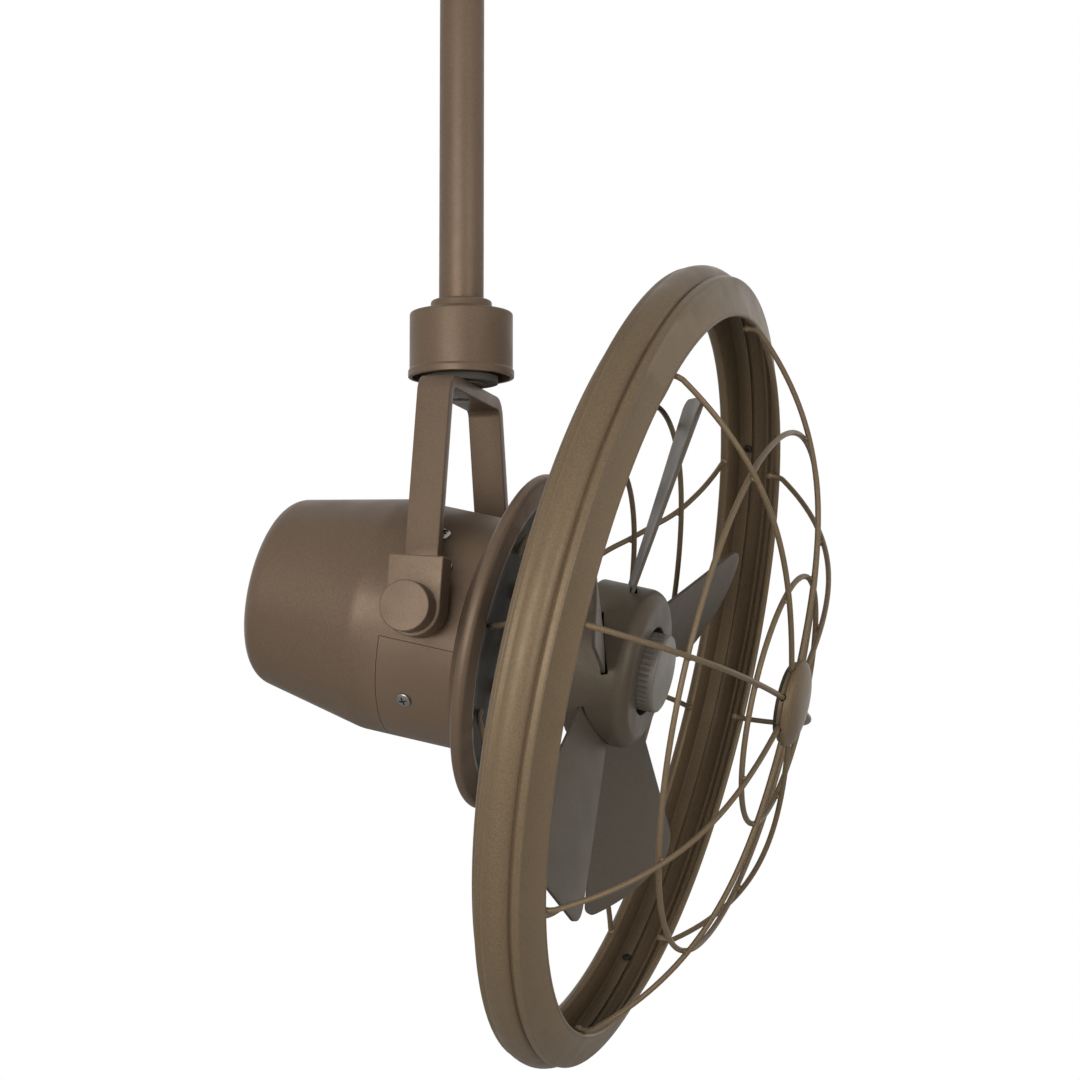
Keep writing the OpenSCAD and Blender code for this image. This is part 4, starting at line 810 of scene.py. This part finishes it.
# The frame's own nodes that keep their shape, with the finish of each
KEPT = {
    ZINC: ["hanger_bracket", "ball_pin", "rod_pin", "tilt_studs", "motor_shaft", "drive_pin"],
    BLACK_STEEL: [
        "rod_set_screws", "cover_set_screw", "swivel_bolt", "plate_screws", "cap_screw", "hub_screws",
    ],
    DULL_BROWN: ["coupling", "friction_washer"],
    DARK_BRONZE: ["cap_plate", "hub_plate"],
    BLACK_PLASTIC: ["hanger_ball", "capacitor"],
    CAST_ALUMINIUM: ["motor_frame", "motor_front_plate"],
    CORE_STEEL: ["stator_core", "rotor_core"],
    COPPER: ["stator_windings"],
    BEARING_STEEL: ["bearings"],
}


def dress_kept_nodes():
    for material, names in KEPT.items():
        for name in names:
            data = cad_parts[name].data
            data.materials.clear()
            data.materials.append(material)


def fan():
    canopy()
    downrod()
    coupling_cover()
    yoke_bar()
    for name, side in (("left", 1), ("right", -1)):
        lug("lug_" + name, side)
        knob("knob_" + name, side)
    housing()
    dish()
    rear_ring()
    front_ring()
    guard_wires()
    welds()
    guard_cap()
    hub_drum()
    blade_nut()
    for k, angle in enumerate(blade_angles()):
        blade(k + 1, angle)
    screws()
    dress_kept_nodes()


# The floor's level and radius, and the spot that the lamps shine at, in metres
FLOOR_Z, FLOOR_R = -1.15, 6
LIT_SPOT = Vector((0.05, 0, -0.48))


# Pale floor well below the fan
def floor():
    bm = bmesh.new()
    level = Matrix.Translation((0, 0, FLOOR_Z))
    bmesh.ops.create_circle(bm, cap_ends=True, segments=96, radius=FLOOR_R, matrix=level)
    mesh = bpy.data.meshes.new("floor")
    bm.to_mesh(mesh)
    bm.free()
    obj = bpy.data.objects.new("floor", mesh)
    bpy.context.scene.collection.objects.link(obj)
    material, tree, bsdf = shader("pale_floor", 0.9, 0.0)
    bsdf.inputs["Base Color"].default_value = (0.9, 0.9, 0.9, 1)
    obj.data.materials.append(material)


# Soft lamp that shines at the fan's head
def lamp(name, spot, size, power):
    light = bpy.data.lights.new(name, "AREA")
    light.shape = "RECTANGLE"
    light.size, light.size_y = size
    light.energy = power
    obj = bpy.data.objects.new(name, light)
    bpy.context.scene.collection.objects.link(obj)
    obj.location = spot
    obj.rotation_euler = (LIT_SPOT - Vector(spot)).to_track_quat("-Z", "Y").to_euler()


# White surroundings for the camera and for reflections, softer for their light on the object
def surroundings(light=0.3):
    world = bpy.data.worlds.new("studio")
    bpy.context.scene.world = world
    world.use_nodes = True
    tree = world.node_tree
    back = tree.nodes["Background"]
    back.inputs["Color"].default_value = (1, 1, 1, 1)
    rays = add_node(tree, "ShaderNodeLightPath").outputs
    seen = rays["Is Camera Ray"]
    for kind in ("Is Glossy Ray", "Is Transmission Ray"):
        either = add_node(tree, "ShaderNodeMath", {0: seen, 1: rays[kind]}, operation="MAXIMUM")
        seen = either.outputs["Value"]
    tree.links.new(ranged(tree, seen, light, 1, 0, 1), back.inputs["Strength"])


# Camera at the photograph's angle
def camera():
    data = bpy.data.cameras.new("camera")
    data.lens = 112.16
    data.sensor_width = 36
    obj = bpy.data.objects.new("camera", data)
    bpy.context.scene.collection.objects.link(obj)
    obj.location = (0.57122, -1.89611, -0.65293)
    obj.rotation_euler = Vector((-0.26404, 0.95810, 0.11102)).to_track_quat("-Z", "Y").to_euler()
    bpy.context.scene.camera = obj


fan()
floor()
lamp("key", (-0.3, -2.5, -0.4), (1.8, 1.4), 43)
lamp("fill", (2.1, -1.3, -0.7), (1.2, 1.4), 22)
surroundings()
camera()
bpy.context.scene.view_settings.view_transform = "Standard"
